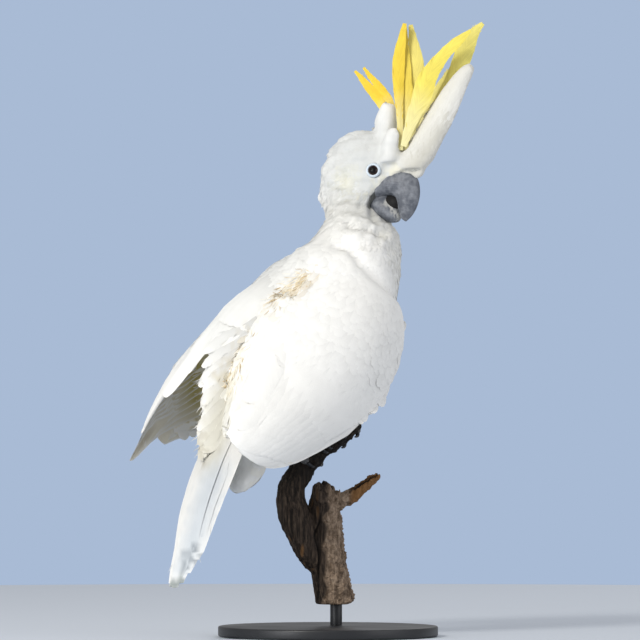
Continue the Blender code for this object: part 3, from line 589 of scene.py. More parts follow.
class Plumes:
    """Closed feathers joined in one mesh, each with its own colours and its own patch on the bake's map."""

    def __init__(self, name: str) -> None:
        """Start with none."""
        self.name = name
        self.points: list = []
        self.faces: list = []
        self.vane: list = []
        self.patches: list = []
        self.tones: list = []
        self.corner_normals: list = []
        self.count = 0

    def add(
        self, rings: Array, across: Sequence[float], along: Sequence[float], tones: Array,
        patches: Array, ups: Array, patch_size: float = BAKE_PATCH,
    ) -> None:
        """Add many feathers of one layout.

        Args:
            rings: Their points, by feather, row and place round the row.
            across: From 0 to 1, how far across each place round a row lies.
            along: From 0 to 1, how far along each row lies.
            tones: Each point's colour.
            patches: The corner of each feather's patch on the bake's map.
            ups: The way out of the body at each point. Close feathers shaded by it run into one another.
            patch_size: The patch's width.
        """
        feathers, rows, around, _ = rings.shape
        grid = np.arange(rows * around).reshape(rows, around)
        caps = np.array([[i, i + 1, around - 2 - i, around - 1 - i] for i in range(around // 2 - 1)])
        quads = np.concatenate([bands(grid[:-1], grid[1:]), grid[0][caps], grid[-1][caps[:, ::-1]]])
        starts = self.count + np.arange(feathers)[:, None, None] * rows * around
        self.faces.append((quads[None] + starts).reshape(-1, 4))
        self.points.append(rings.reshape(-1, 3))
        self.tones.append(tones.reshape(-1, 3))
        local = np.stack(np.meshgrid(across, along), axis=-1)
        self.vane.append(np.broadcast_to(local, (feathers, rows, around, 2)).reshape(-1, 2))
        self.patches.append((patches[:, None, None, :] + local[None] * patch_size).reshape(-1, 2))
        self.count += feathers * rows * around
        first = np.tile(np.arange(around) < around // 2, rows - 1)
        sign = np.where(np.concatenate([first, np.ones(2 * len(caps), bool)]), 1.0, -1.0)
        wanted = ups.reshape(feathers, -1, 3)[:, quads] * sign[None, :, None, None]
        self.corner_normals.append(wanted.reshape(-1, 3))

    def build(self, finish: Material, slot: str = "feather_white", *nodes: str) -> None:
        """Make the mesh and finish it.

        Args:
            finish: The material of every feather.
            slot: The piece's material slot; not used.
            *nodes: The CAD nodes that it stands for.
        """
        points, faces = np.concatenate(self.points), np.concatenate(self.faces)
        obj = mesh_object(self.name, points, faces)
        mesh = obj.data
        corners = faces.reshape(-1)
        for name, values in (("OFBake", np.concatenate(self.patches)), ("Vane", np.concatenate(self.vane))):
            layer = mesh.uv_layers.new(name=name)
            layer.uv.foreach_set("vector", values[corners].astype(np.float32).reshape(-1))
        paint(mesh, np.concatenate(self.tones))
        dress(obj, finish)
        mesh.normals_split_custom_set(unit(np.concatenate(self.corner_normals)).tolist())
        finish_piece(obj, slot, *nodes)


def linked(name: str, data: ID) -> Object:
    """A new object in the scene that shows this mesh, lamp or camera."""
    obj = bpy.data.objects.new(name, data)
    bpy.context.scene.collection.objects.link(obj)
    return obj


def mesh_object(name: str, points: Array, faces: Array) -> Object:
    """An object at the origin, made from arrays.

    Args:
        name: The object's name.
        points: The vertices.
        faces: The faces, all with the same number of corners.

    Returns:
        The object.
    """
    mesh = bpy.data.meshes.new(name)
    mesh.vertices.add(len(points))
    mesh.vertices.foreach_set("co", points.astype(np.float32).reshape(-1))
    corners = faces.shape[1]
    mesh.loops.add(faces.size)
    mesh.loops.foreach_set("vertex_index", faces.astype(np.int32).reshape(-1))
    mesh.polygons.add(len(faces))
    mesh.polygons.foreach_set("loop_start", np.arange(0, faces.size, corners, dtype=np.int32))
    mesh.update(calc_edges=True)
    return linked(name, mesh)


def head_tube(
    name: str, sections: Sequence, aside: float = 0.0, pinch: float = 0.0, ridge: float = 0.0,
    around: int = 40, steps: int = 7,
) -> tuple[Object, Array]:
    """A closed tube with oval sections, its line in the head's middle plane or beside it.

    Args:
        name: The object's name.
        sections: Forward, up, half width, half depth and the depth's tilt, in millimetres and degrees.
        aside: How far to the left it lies.
        pinch: How much narrower the depth's far end is.
        ridge: How far that end is drawn out to a keel.
        around: The number of points round each section.
        steps: The number of sections from one given one to the next.

    Returns:
        The object, and its points in the head's frame.
    """
    turn = np.arange(around) * 2 * math.pi / around
    side, deep = np.cos(turn), np.sin(turn)
    narrow = 1 - pinch * np.clip(deep, 0, 1) ** 2
    keel = 1 + ridge * np.clip(deep, 0, 1) ** 10
    rows = []
    sections = [(*metres(section[:4]), section[4]) for section in sections]
    for forward, up, half_width, half_depth, tilt in smoothed(sections, steps):
        angle = math.radians(tilt)
        axis = np.array((math.cos(angle), 0.0, math.sin(angle)))
        across = np.outer(side * narrow * half_width, (0, 1, 0))
        centre = np.array((forward, metres(aside), up))
        rows.append(centre + across + np.outer(deep * keel * half_depth, axis))
    local = np.array(rows).reshape(-1, 3)
    obj = mesh_object(name, from_head(local), tube_faces(len(rows), around))
    face_out(obj)
    return obj, local


def face_out(obj: Object) -> None:
    """Turn all faces outwards."""
    bm = bmesh.new()
    bm.from_mesh(obj.data)
    bmesh.ops.recalc_face_normals(bm, faces=bm.faces)
    bm.to_mesh(obj.data)
    bm.free()


def paint(mesh: Mesh, colours: Array) -> None:
    """Store each vertex's colour."""
    layer = mesh.attributes.new("tone", "FLOAT_COLOR", "POINT")
    values = np.ones((len(colours), 4), np.float32)
    values[:, :3] = colours
    layer.data.foreach_set("color", values.reshape(-1))


def store(mesh: Mesh, name: str, values: Array) -> None:
    """Store a number for each vertex."""
    layer = mesh.attributes.new(name, "FLOAT", "POINT")
    layer.data.foreach_set("value", values.astype(np.float32))


def read(items: bpy_prop_collection, name: str, width: int = 3, kind: type = np.float32) -> Array:
    """One property of each of a mesh's items, a row for each."""
    values = np.empty(len(items) * width, kind)
    items.foreach_get(name, values)
    return values.reshape(-1, width)


def vertices(mesh: Mesh) -> Array:
    """The mesh's vertices as an array."""
    return read(mesh.vertices, "co").astype(float)


def move_vertices(mesh: Mesh, points: Array) -> None:
    """Put the mesh's vertices at these places."""
    mesh.vertices.foreach_set("co", points.astype(np.float32).reshape(-1))
    mesh.update()


def vertex_normals(mesh: Mesh) -> Array:
    """The mesh's vertex normals as an array."""
    return read(mesh.vertex_normals, "vector").astype(float)


def select_only(*objects: Object) -> None:
    """Deselect everything else, and make the first of these the active one."""
    bpy.ops.object.select_all(action="DESELECT")
    for obj in objects:
        obj.select_set(True)
    bpy.context.view_layer.objects.active = objects[0]


def apply_modifier(obj: Object, kind: str, **settings) -> None:
    """Add a modifier with these settings and apply it."""
    select_only(obj)
    modifier = obj.modifiers.new(kind.title(), kind)
    for name, value in settings.items():
        setattr(modifier, name, value)
    bpy.ops.object.modifier_apply(modifier=modifier.name)


def middle_of(node: str) -> Array:
    """The middle of a CAD node's box."""
    return np.array(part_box(node)).sum(axis=0) / 2


def merged_copy(node: str, name: str) -> Object:
    """A copy of a CAD node's mesh, its loose triangles merged, with no material.

    Args:
        node: The node to copy.
        name: The copy's name.

    Returns:
        The copy.
    """
    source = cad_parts[node]
    mesh = source.data.copy()
    mesh.transform(source.matrix_world)
    mesh.materials.clear()
    obj = linked(name, mesh)
    bm = bmesh.new()
    bm.from_mesh(mesh)
    bmesh.ops.remove_doubles(bm, verts=bm.verts, dist=2e-5)
    bm.to_mesh(mesh)
    bm.free()
    return obj


def added(name: str) -> Object:
    """The primitive just added, named, with its place and size in its mesh."""
    bpy.ops.object.transform_apply(location=True, rotation=True, scale=True)
    obj = bpy.context.view_layer.objects.active
    obj.name = obj.data.name = name
    return obj


def dress(obj: Object, finish: Material) -> None:
    """Give a piece its material, shaded round."""
    obj.data.materials.append(finish)
    obj.data.shade_smooth()


def finish_piece(obj: Object, slot: str, *nodes: str) -> None:
    """Let a piece ride on the one body, and hide the CAD nodes that it stands for."""
    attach(obj, "root")
    if nodes:
        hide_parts(*nodes)
    log.info("%s: %d faces", obj.name, len(obj.data.polygons))


# ---------- where the feathers lie


@dataclass(frozen=True)
class Zone:
    """How the plumage lies about one place on the body."""

    piece: str
    centre: tuple  # millimetres
    way: tuple
    length_mm: float
    width_mm: float
    in_head: bool = False
    paired: bool = False  # the same on the bird's other side
    lift: float = 0.040  # the tip's height over the skin, as a share of the length


ZONES = (
    Zone("head", (26, 14, 4), (-1, 0.2, 0.1), 3.4, 1.6, True, True),
    Zone("head", (26, 0, 24), (-0.5, 0, 0.87), 5, 2.2, True),
    Zone("head", (10.5, 24, 0), (-1, 0, -0.05), 2.8, 1.3, True, True),
    Zone("head", (4, 20, 18), (-1, 0, 0.2), 5, 2.1, True, True, 0.08),
    Zone("head", (-4, 0, 40), (-1, 0, 0.12), 8, 3.2, True, lift=0.12),
    Zone("head", (-20, 26, -4), (-0.85, 0, -0.5), 6.4, 2.6, True, True, 0.12),
    Zone("head", (-2, 24, -24), (-0.62, 0, -0.78), 6, 2.5, True, True, 0.13),
    Zone("head", (6, 0, -48), (-0.45, 0, -0.9), 5.4, 2.4, True, lift=0.12),
    Zone("head", (-45, 0, 12), (-0.6, 0, -0.8), 9, 3.8, True, lift=0.13),
    Zone("neck", (-56, 0, -24), (-0.3, 0, -0.95), 12, 5, True, lift=0.15),
    Zone("neck", (-20, 0, -64), (-0.1, 0, -1), 12, 5, True, lift=0.12),
    Zone("neck", (50, 30, 405), (-0.1, 0, -1), 14, 6.5, paired=True, lift=0.05),
    Zone("crest", (46, 3, 14), (0.55, 0, 0.83), 12, 4, True, lift=0.04),
    Zone("crest", (68, 3, 44), (0.58, 0, 0.81), 20, 5, True, lift=0.022),
    Zone("crest", (92, 3, 80), (0.62, 0, 0.78), 17, 4.6, True, lift=0.022),
    Zone("crest", (109, 3, 102), (0.62, 0, 0.78), 7, 3.4, True, lift=0.02),
    Zone("crest", (11, 2, 52), (0.25, 0, 0.97), 9, 3.8, True, lift=0.03),
    Zone("crest", (18, -16, 36), (0.2, 0, 0.98), 8, 3.6, True, lift=0.03),
    Zone("breast", (78, 0, 345), (-0.3, 0, -0.95), 17, 10.5),
    Zone("breast", (60, 0, 275), (-0.55, 0, -0.83), 17, 10.5),
    Zone("breast", (10, 0, 225), (-0.8, 0, -0.6), 16, 9.5),
    Zone("breast", (-60, 0, 180), (-0.93, 0, -0.35), 16, 9),
    Zone("breast", (-110, 0, 150), (-0.8, 0, -0.6), 17, 9),
    Zone("back", (-10, 0, 405), (-0.66, 0, -0.75), 17, 10.5),
    Zone("back", (-50, 0, 345), (-0.68, 0, -0.73), 20, 12),
    Zone("back", (-100, 0, 275), (-0.68, 0, -0.73), 21, 12),
    Zone("back", (-132, 0, 215), (-0.62, 0, -0.78), 20, 11),
    Zone("right_wing", (30, -62, 360), (-0.5, -0.1, -0.86), 12, 9, lift=0.035),
    Zone("right_wing", (52, -72, 318), (-0.6, 0, -0.8), 18, 11.5, lift=0.036),
    Zone("right_wing", (36, -76, 272), (-0.7, 0, -0.71), 23, 13.5, lift=0.045),
    Zone("right_wing", (-15, -74, 330), (-0.74, 0, -0.67), 22, 14, lift=0.03),
    Zone("right_wing", (-45, -80, 265), (-0.78, 0, -0.62), 27, 16, lift=0.022),
    Zone("left_wing", (20, 75, 370), (-0.5, 0.2, -0.84), 12, 9, lift=0.035),
    Zone("left_wing", (40, 110, 300), (-0.7, 0.1, -0.7), 17, 11, lift=0.045),
    Zone("left_wing", (-30, 90, 330), (-0.74, 0.1, -0.67), 20, 14, lift=0.03),
    Zone("left_wing", (-40, 120, 270), (-0.78, 0.1, -0.62), 26, 15, lift=0.03),
    Zone("breast", (-12, 20, 222), (-0.1, 0, -1), 8, 4, paired=True),
)


class LieOfCoat:
    """Blends the zones, so that size and direction change smoothly over the body."""

    def __init__(self, zones: Sequence[Zone]) -> None:
        """Spread the zones over both sides, in the world's frame."""
        rows = []
        for zone in zones:
            for side in (1, -1) if zone.paired else (1,):
                centre = np.array(metres(zone.centre)) * (1, side, 1)
                way = np.array(zone.way) * (1, side, 1)
                if zone.in_head:
                    centre, way = from_head(centre), turned_from_head(way)
                rows.append((zone, centre, unit(way)))
        self.centres = np.array([row[1] for row in rows])
        self.ways = np.array([row[2] for row in rows])
        self.sizes = np.array([(row[0].length_mm * MM, row[0].width_mm * MM, row[0].lift) for row in rows])
        self.names = sorted({row[0].piece for row in rows})
        self.owner = np.array([self.names.index(row[0].piece) for row in rows])

    def weights(self, points: Array) -> Array:
        """How much of each zone each point takes."""
        far = np.linalg.norm(points[:, None] - self.centres[None], axis=2)
        weight = (far + 0.002) ** -4.0
        return weight / weight.sum(axis=1, keepdims=True)

    def share(self, points: Array, *names: str) -> Array:
        """How much of each point belongs to the named pieces, from 0 to 1."""
        mine = np.isin(self.owner, [self.names.index(name) for name in names])
        return self.weights(points) @ mine

    def read(self, points: Array) -> tuple[Array, Array, Array]:
        """The lie at each point.

        Args:
            points: Places on the skin.

        Returns:
            The direction; the length, width and lift; and the number of the piece that it belongs to.
        """
        weight = self.weights(points)
        owner = self.owner[weight.argmax(axis=1)]
        return unit(weight @ self.ways), weight @ self.sizes, owner


LIE = LieOfCoat(ZONES)


class Surface:
    """A closed skin that feathers are laid on."""

    def __init__(self, obj: Object) -> None:
        """Read the object's triangles, normals and bake map."""
        mesh = obj.data
        mesh.calc_loop_triangles()
        self.triangles = read(mesh.loop_triangles, "vertices", kind=np.int32)
        self.points = vertices(mesh)
        self.normals = vertex_normals(mesh)
        loops = read(mesh.loop_triangles, "loops", kind=np.int32)
        self.map = read(mesh.uv_layers["OFBake"].uv, "vector", 2)[loops]
        self.tree = BVHTree.FromPolygons(self.points.tolist(), self.triangles.tolist())
        self.face_normals = unit(self.normals[self.triangles].sum(axis=1))

    def scatter(
        self, seed: int, keep: Callable[[Array, Array], Array], closeness: float,
    ) -> tuple[Array, Array]:
        """Evenly spread roots, closer where the feathers are smaller.

        Args:
            seed: Which spread.
            keep: Says which points and normals may carry a feather.
            closeness: The distance between roots, as a share of the feather's width.

        Returns:
            The roots, and the triangle that each lies on.
        """
        rng = default_rng(seed)
        a, b, c = (self.points[self.triangles[:, i]] for i in range(3))
        area = np.linalg.norm(np.cross(b - a, c - a), axis=1) / 2
        spacing = LIE.read((a + b + c) / 3)[1][:, 1] * closeness
        want = area / spacing**2 * 3.2
        picks = np.repeat(np.arange(len(want)), rng.poisson(want))
        rng.shuffle(picks)
        u, v = rng.random((2, len(picks)))
        flip = u + v > 1
        u[flip], v[flip] = 1 - u[flip], 1 - v[flip]
        points = a[picks] + (b - a)[picks] * u[:, None] + (c - a)[picks] * v[:, None]
        good = keep(points, self.face_normals[picks])
        points, picks = points[good], picks[good]
        radii = LIE.read(points)[1][:, 1] * closeness
        tree = near_tree(points)
        free = np.ones(len(points), bool)
        chosen = []
        for i, point in enumerate(points.tolist()):
            if free[i]:
                chosen.append(i)
                for _, j, _ in tree.find_range(point, radii[i]):
                    free[j] = False
        return points[chosen], picks[chosen]

    def shares(self, points: Array, faces: Array) -> Array:
        """How much of each of its triangle's corners each point takes."""
        a, b, c = (self.points[self.triangles[faces, i]] for i in range(3))
        whole = np.linalg.norm(np.cross(b - a, c - a), axis=1)
        wa = np.linalg.norm(np.cross(b - points, c - points), axis=1) / whole
        wb = np.linalg.norm(np.cross(c - points, a - points), axis=1) / whole
        return np.stack([wa, wb, np.clip(1 - wa - wb, 0, 1)], axis=1)

    def map_at(self, points: Array, faces: Array) -> Array:
        """Where on the bake's map the points lie."""
        return (self.map[faces] * self.shares(points, faces)[:, :, None]).sum(axis=1)

    def nearest(self, points: Array) -> tuple[Array, Array]:
        """The nearest place on the skin to each point, and the smooth normal there."""
        find = self.tree.find_nearest
        hits = [find(point) for point in points.tolist()]
        places, faces = np.array([hit[0] for hit in hits]), np.array([hit[2] for hit in hits])
        corners = self.normals[self.triangles[faces]]
        return places, unit((corners * self.shares(places, faces)[:, :, None]).sum(axis=1))


def under_bill(points: Array) -> Array:
    """From 0 to 1, whether places lie forward of the edge where the feathers end and the bill begins."""
    forward, side, up = ((points - from_head((0.0, 0.0, 0.0))) @ turned_from_head(np.eye(3)).T).T
    edge = np.interp(up, metres((-34, -27, -19, -11, -3, 1)), metres((3, 6, 13.5, 21, 32, 40)))
    near = (up > -0.036) & (up < 0.001) & (np.abs(side) < 0.019)
    over = np.clip((forward + 0.3 * up - 0.043) / 0.004, 0, 1)  # the crest's foot, beyond the bill's top
    over = over * np.clip((0.0085 - np.abs(side)) / 0.005, 0, 1) * (up > -0.012)
    return np.clip((forward - edge) / 0.003 + 0.2, 0, 1) * near * (1 - over)


@dataclass
class Coat:
    """The small feathers all over the skin, one joined piece for each part of the body."""

    surface: Surface
    finish: Material
    closeness: float = 0.46
    kinds: tuple = (  # which outline feathers of each width have
        (HAIRLIKE, 0.0, 0.0036), (LOOSE, 0.0036, 0.0068), (CONTOUR, 0.0068, 1.0),
    )
    roundness: float = 0.045  # how much each feather's own rounding shows in the shading
    fluffy: tuple = (("head", 0.38), ("neck", 0.26), ("crest", 0.10))  # and where the plumage is loose
    sink: float = 0.0004  # how far a root lies under the skin
    last_coverts: tuple = (0.51, 0.51, 0.66)  # how far down each wing sheet small feathers have roots
    wing_depth: float = 0.011  # how near to a sheet the skin counts as the wing's
    bare_round_eye: float = 0.0078
    steepest: float = 0.86  # how far a feather's way may point into or out of the skin
    frayed_count: int = 2600
    parting: tuple = (
        (-36, -15, 366), (-50, -12, 352), (-62, -3, 338), (-74, 2, 318), (-83, 2, 302), (-92, 3, 290),
        (-102, 3, 279), (-110, 5, 266), (-119, 7, 250),
    )

    def may_grow(self, points: Array, normals: Array) -> Array:
        """Whether a feather may grow there: not on an eye, nor where a wing's flight feathers lie."""
        good = np.ones(len(points), bool)
        for side in Side:
            good &= np.linalg.norm(points - middle_of("eye_" + side.value), axis=1) > self.bare_round_eye
        for sheet, last in zip((RIGHT_SHEET, LEFT_SHEET, BACK_SHEET), self.last_coverts):
            u, far = sheet.nearest_u(points)
            good &= (u < last) | (far > self.wing_depth)
        return good & (under_bill(points) < 0.5)

    def lay(
        self, roots: Array, sizes: Array, ways: Array, shape: VaneShape,
        rng: Generator, spread: float = 0.13, roundness: float | Array = 0.045,
    ) -> tuple[Array, Array]:
        """Lay feathers over the skin from their roots.

        Args:
            roots: Where they grow.
            sizes: The length, width and lift of each.
            ways: The direction in which each lies.
            shape: Their outline.
            rng: The source of their differences.
            spread: How far the directions differ.
            roundness: How much their own rounding shows.

        Returns:
            Right, top, left and under for each row of each feather, and the way out at each.
        """
        count = len(roots)
        length = sizes[:, 0] * rng.uniform(0.85, 1.2, count)
        half = sizes[:, 1] / 2 * rng.uniform(0.85, 1.15, count)
        lift = sizes[:, 2] * rng.uniform(0.7, 1.25, count)
        spot, normal = self.surface.nearest(roots)
        way = along_skin(ways, normal)
        way = unit(way + np.cross(normal, way) * rng.normal(0, spread, count)[:, None])
        tip = roots + way * length[:, None]
        off = np.linalg.norm(self.surface.nearest(tip)[0] - tip, axis=1) / length
        length = length * np.interp(off, (0.25, 0.5), (1.0, 0.45))
        roundness = np.broadcast_to(roundness, count)[:, None]
        rings = np.empty((count, shape.rows, 4, 3))
        ups = np.empty_like(rings)
        before = 0.0
        for row, (share, width) in enumerate(zip(shape.along, shape.half_width)):
            step = (length * (share - before))[:, None]
            before = share
            if row:
                spot, normal = self.follow(spot + way * step, normal, 0.45 * step[:, 0])
                way = along_skin(way, normal)
            right = np.cross(way, normal)
            high = (length * lift * share**1.15 - self.sink)[:, None]
            wide = (half * width)[:, None]
            arch = np.maximum(half * shape.arch * (0.35 + 0.65 * width), shape.least)[:, None]
            for column, sign in ((0, 1), (2, -1)):
                edge, turned = self.follow(spot + right * wide * sign, normal, 0.6 * wide[:, 0])
                rings[:, row, column] = edge + turned * high
                ups[:, row, column] = turned + right * sign * roundness
            rings[:, row, 1] = spot + normal * (high + arch)
            rings[:, row, 3] = spot + normal * (high - arch * 0.5)
            ups[:, row, 1] = ups[:, row, 3] = normal + way * roundness * 0.6
        return rings, unit(ups)

    def follow(self, guess: Array, normal: Array, reach: Array) -> tuple[Array, Array]:
        """Bring points onto the skin, unless it has fallen away from under them.

        Args:
            guess: Where the points would be on a flat skin.
            normal: The normals where they came from.
            reach: How far each may be moved.

        Returns:
            The points and the normals there.
        """
        near, turned = self.surface.nearest(guess)
        holds = (np.linalg.norm(near - guess, axis=1) < reach) & ((turned * normal).sum(axis=1) > 0.35)
        holds = holds[:, None]
        return np.where(holds, near, guess), np.where(holds, unit(turned + normal * 0.4), normal)

    def build(self) -> None:
        """Grow the whole coat."""
        roots, faces = self.surface.scatter(11, self.may_grow, self.closeness)
        ways, sizes, owner = LIE.read(roots)
        normals = self.surface.face_normals[faces]
        steep = np.abs((ways * normals).sum(axis=1))
        good = steep < self.steepest
        roots, faces, ways, sizes, owner, normals, steep = (
            values[good] for values in (roots, faces, ways, sizes, owner, normals, steep)
        )
        sizes[:, 0] *= np.interp(steep, (0.45, self.steepest), (1.0, 0.4))
        inner = on_inner_face(roots, normals)
        sizes[:, 2] *= np.where(inner, 0.3, 1.0)
        u, _ = LEFT_SHEET.nearest_u(roots)
        sizes[:, 0] *= np.where(inner, np.interp(u, (0.36, 0.50), (1.0, 0.3)), 1.0)
        u, far = RIGHT_SHEET.nearest_u(roots)
        sizes[:, 0] *= np.where(far < 0.02, np.interp(u, (0.38, 0.51), (1.0, 0.55)), 1.0)
        sizes[:, 2] *= np.where(far < 0.02, np.interp(u, (0.34, 0.50), (1.0, 0.1)), 1.0)
        rounded = self.roundness + sum(extra * LIE.share(roots, name) for name, extra in self.fluffy)
        patches = self.surface.map_at(roots, faces)
        tones = plumage_tone(roots, normals)
        rng = default_rng(5)
        for number, name in enumerate(LIE.names):
            plumes = Plumes("coat_" + name)
            of_piece = owner == number
            for shape, low, high in self.kinds:
                pick = np.flatnonzero(of_piece & (sizes[:, 1] >= low) & (sizes[:, 1] < high))
                if not len(pick):
                    continue
                rings, ups = self.lay(
                    roots[pick], sizes[pick], ways[pick], shape, rng, roundness=rounded[pick],
                )
                shade = rng.normal(1.0, 0.006, (len(pick), 1, 1, 1))
                # painted shade: each feather darker towards its root, more on the wings and back, where the
                # next feather overlaps it; a little of it is the greyer down at the base
                outer = LIE.share(roots[pick], "right_wing", "left_wing", "back")[:, None, None, None]
                to_tip = np.interp(shape.along, (0.0, 0.6, 1.0), (1.0, 0.4, 0.0))[None, :, None, None]
                colours = tones[pick][:, None, None, :] * shade * (1 - (0.04 + 0.13 * outer) * to_tip)
                colours = np.broadcast_to(colours, rings.shape)
                plumes.add(rings, FLAT_RING, shape.along, np.clip(colours, 0, 1), patches[pick], ups)
            plumes.build(self.finish)
        self.frayed()

    def frayed(self) -> None:
        """Loose stained down in the parting between the back and the right wing."""
        rng = default_rng(8)
        count = self.frayed_count
        roots = read_track(np.array(metres(self.parting)), rng.beta(1.4, 0.9, count))
        roots, _ = self.surface.nearest(roots + rng.normal(0, 1, (count, 3)) * 0.0046)
        hits = [self.surface.tree.find_nearest(root)[2] for root in roots.tolist()]
        spans = (0.008, 0.015), (0.0006, 0.0012), (0.04, 0.20)  # of length, width and lift
        sizes = np.stack([rng.uniform(low, high, count) for low, high in spans], axis=1)
        ways = unit(np.array((-0.55, 0.30, -0.62)) + rng.normal(0, 0.33, (count, 3)))
        rings, ups = self.lay(roots, sizes, ways, HAIRLIKE, rng, 0.5)
        stain = np.array([to_linear(code) for code in ("#F6F1E2", "#F0E5CC", "#E4D3AE", "#C6AA78")])
        tones = stain[rng.choice(4, count, p=(0.34, 0.34, 0.23, 0.09))][:, None, None, :]
        plumes = Plumes("frayed_down")
        plumes.add(
            rings, FLAT_RING, HAIRLIKE.along, np.broadcast_to(tones, rings.shape),
            self.surface.map_at(roots, np.array(hits)), ups,
        )
        plumes.build(self.finish)


# ---------- wings


@dataclass(frozen=True)
class WingSheet:
    """A folded wing's curved middle surface: u runs from shoulder to tip, v from trailing to leading edge."""

    outwards: tuple  # roughly which way its outer face looks
    trailing: tuple  # millimetres, as the next three are
    leading: tuple
    bulge: tuple
    thickness: tuple
    steps: int = 12

    def tracks(self) -> tuple[Array, Array, Array, Array]:
        """The two edges, the bulge and the thickness as smooth tracks."""
        values = self.trailing, self.leading, self.bulge, self.thickness
        return tuple(smoothed(metres(value), self.steps) for value in values)

    def way_out(self) -> Array:
        """The way out of the outer face, as a smooth track."""
        trailing, leading, _, _ = self.tracks()
        ways = unit(np.cross(leading - trailing, unit(np.gradient((trailing + leading) / 2, axis=0))))
        return ways * np.where((ways @ np.array(self.outwards))[:, None] < 0, -1.0, 1.0)

    def middle(self, u: Array, v: Array) -> Array:
        """Places on the middle surface."""
        trailing, leading, bulge, _ = self.tracks()
        top, bottom, away = read_track(trailing, u), read_track(leading, u), read_track(self.way_out(), u)
        bow = read_track(bulge, u) * np.sin(math.pi * np.clip(v, 0.001, 0.999)) ** 0.8
        return top + (bottom - top) * v[..., None] + unit(away) * bow[..., None]

    def at(self, u: Array, v: Array) -> tuple[Array, Array, Array]:
        """Read the sheet.

        Args:
            u: From 0 at the shoulder to 1 at the tip.
            v: From 0 at the trailing edge to 1 at the leading edge.

        Returns:
            The places, the outward normals and half the wing's thickness there.
        """
        small = 0.004
        place = self.middle(u, v)
        du = self.middle(np.minimum(u + small, 1.0), v) - self.middle(np.maximum(u - small, 0.0), v)
        dv = self.middle(u, v + small) - self.middle(u, v - small)
        normal = unit(np.cross(du, dv))
        thickness, away = self.tracks()[3], read_track(self.way_out(), u)
        normal *= np.where((normal * away).sum(axis=-1, keepdims=True) < 0, -1.0, 1.0)
        plump = 0.30 + 0.70 * np.sin(math.pi * np.clip(v, 0.001, 0.999)) ** 0.6
        return place, normal, read_track(thickness, u) / 2 * plump

    def nearest_u(self, points: Array) -> tuple[Array, Array]:
        """How far down the wing each point lies, and how far it is from the sheet."""
        u, v = np.meshgrid(np.linspace(0, 1, 80), np.linspace(0, 1, 30), indexing="ij")
        places = self.middle(u, v).reshape(-1, 3)
        tree = near_tree(places)
        found = [tree.find(point)[1:] for point in points.tolist()]
        return u.reshape(-1)[[index for index, _ in found]], np.array([far for _, far in found])

    def chord(self, u: Array) -> Array:
        """The width of the sheet at u."""
        trailing, leading, _, _ = self.tracks()
        return np.linalg.norm(read_track(leading, u) - read_track(trailing, u), axis=-1)

    def core(self, name: str, last: float = 0.62, thin_from: float = 0.34) -> Object:
        """The wing's flesh and small feathers, as a closed plate that thins out over the flight feathers.

        Args:
            name: The plate's name.
            last: The u at which it ends.
            thin_from: The u from which it thins.

        Returns:
            The plate.
        """
        u = np.linspace(0.0, last, 30)[:, None]
        v = np.linspace(0.0, 1.0, 21)[None, :]
        u, v = np.broadcast_arrays(u, v)
        place, normal, half = self.at(u, v)
        share = np.interp(u, (0.0, thin_from, last), (1.0, 1.0, 0.12))
        half = np.maximum(half * share, 0.0012)[..., None]
        rings = np.concatenate([place + normal * half, (place - normal * half)[:, ::-1]], axis=1)
        obj = mesh_object(name, rings.reshape(-1, 3), tube_faces(*rings.shape[:2]))
        face_out(obj)
        return obj


RIGHT_SHEET = WingSheet(
    (0, -1, 0),
    ((4, -38, 376), (-18, -28, 368), (-48, -18, 350), (-80, -16, 318), (-108, -16, 284), (-134, -20, 248),
     (-157, -27, 224), (-167, -32, 206), (-166, -35, 196)),
    ((34, -50, 362), (49, -54, 334), (51, -58, 294), (30, -60, 250), (-9, -60, 215), (-60, -58, 191),
     (-102, -52, 174), (-134, -46, 171), (-152, -42, 181)),
    (4, 14, 26, 30, 28, 23, 16, 8, 3),
    (6, 10, 11, 10, 9, 7, 6, 4, 2),
)
LEFT_SHEET = WingSheet(
    (0, 1, 0),
    ((-10, 34, 386), (-40, 24, 372), (-72, 30, 346), (-98, 42, 318), (-116, 60, 284), (-132, 72, 258),
     (-148, 80, 236), (-164, 88, 208), (-178, 96, 180)),
    ((30, 54, 360), (48, 82, 318), (20, 108, 254), (-30, 114, 222), (-85, 108, 204), (-110, 106, 198),
     (-132, 104, 190), (-152, 102, 182), (-172, 101, 172)),
    (8, 28, 32, 34, 36, 26, 16, 7, 2),
    (6, 10, 10, 9, 7, 5, 4, 3, 2),
)
BACK_SHEET = WingSheet(
    (-0.6, -0.1, 0.75),
    ((-22, 20, 390), (-46, 27, 366), (-69, 35, 349), (-90, 49, 329), (-108, 57, 303), (-117, 55, 285)),
    ((-40, -12, 368), (-55, -4, 348), (-70, 5, 328), (-85, 9, 308), (-101, 15, 292), (-114, 28, 282)),
    (2, 4, 6, 7, 6, 3),
    (8, 8, 8, 7, 5, 3),
)
BAND_SHEET = WingSheet(
    (-0.75, -0.1, 0.65),
    ((-69, 36, 348), (-89, 51, 329), (-109, 60, 305), (-129, 73, 273), (-150, 83, 240)),
    ((-90, 33, 325), (-105, 38, 306), (-120, 47, 285), (-135, 57, 262), (-148, 72, 237)),
    (3, 4, 4, 3, 1),
    (4, 4, 4, 3, 2),
)

PARTING_SHEET = WingSheet(
    (-0.75, 0, 0.65),
    ((-70, 5, 341), (-87, 9, 319), (-103, 13, 295), (-116, 15, 273), (-126, 13.5, 253), (-128, 10, 239),
     (-134, 7, 225), (-142, 2, 207)),
    ((-62, -19, 340), (-78, -19, 318), (-94, -20, 297), (-108, -22, 276), (-121, -25, 254),
     (-132, -28, 238), (-142, -32, 224), (-150, -34, 206)),
    (0, 1, 1, 1, 0, 0, 0, 0),
    (8, 8, 8, 8, 7, 6, 5, 3),
)

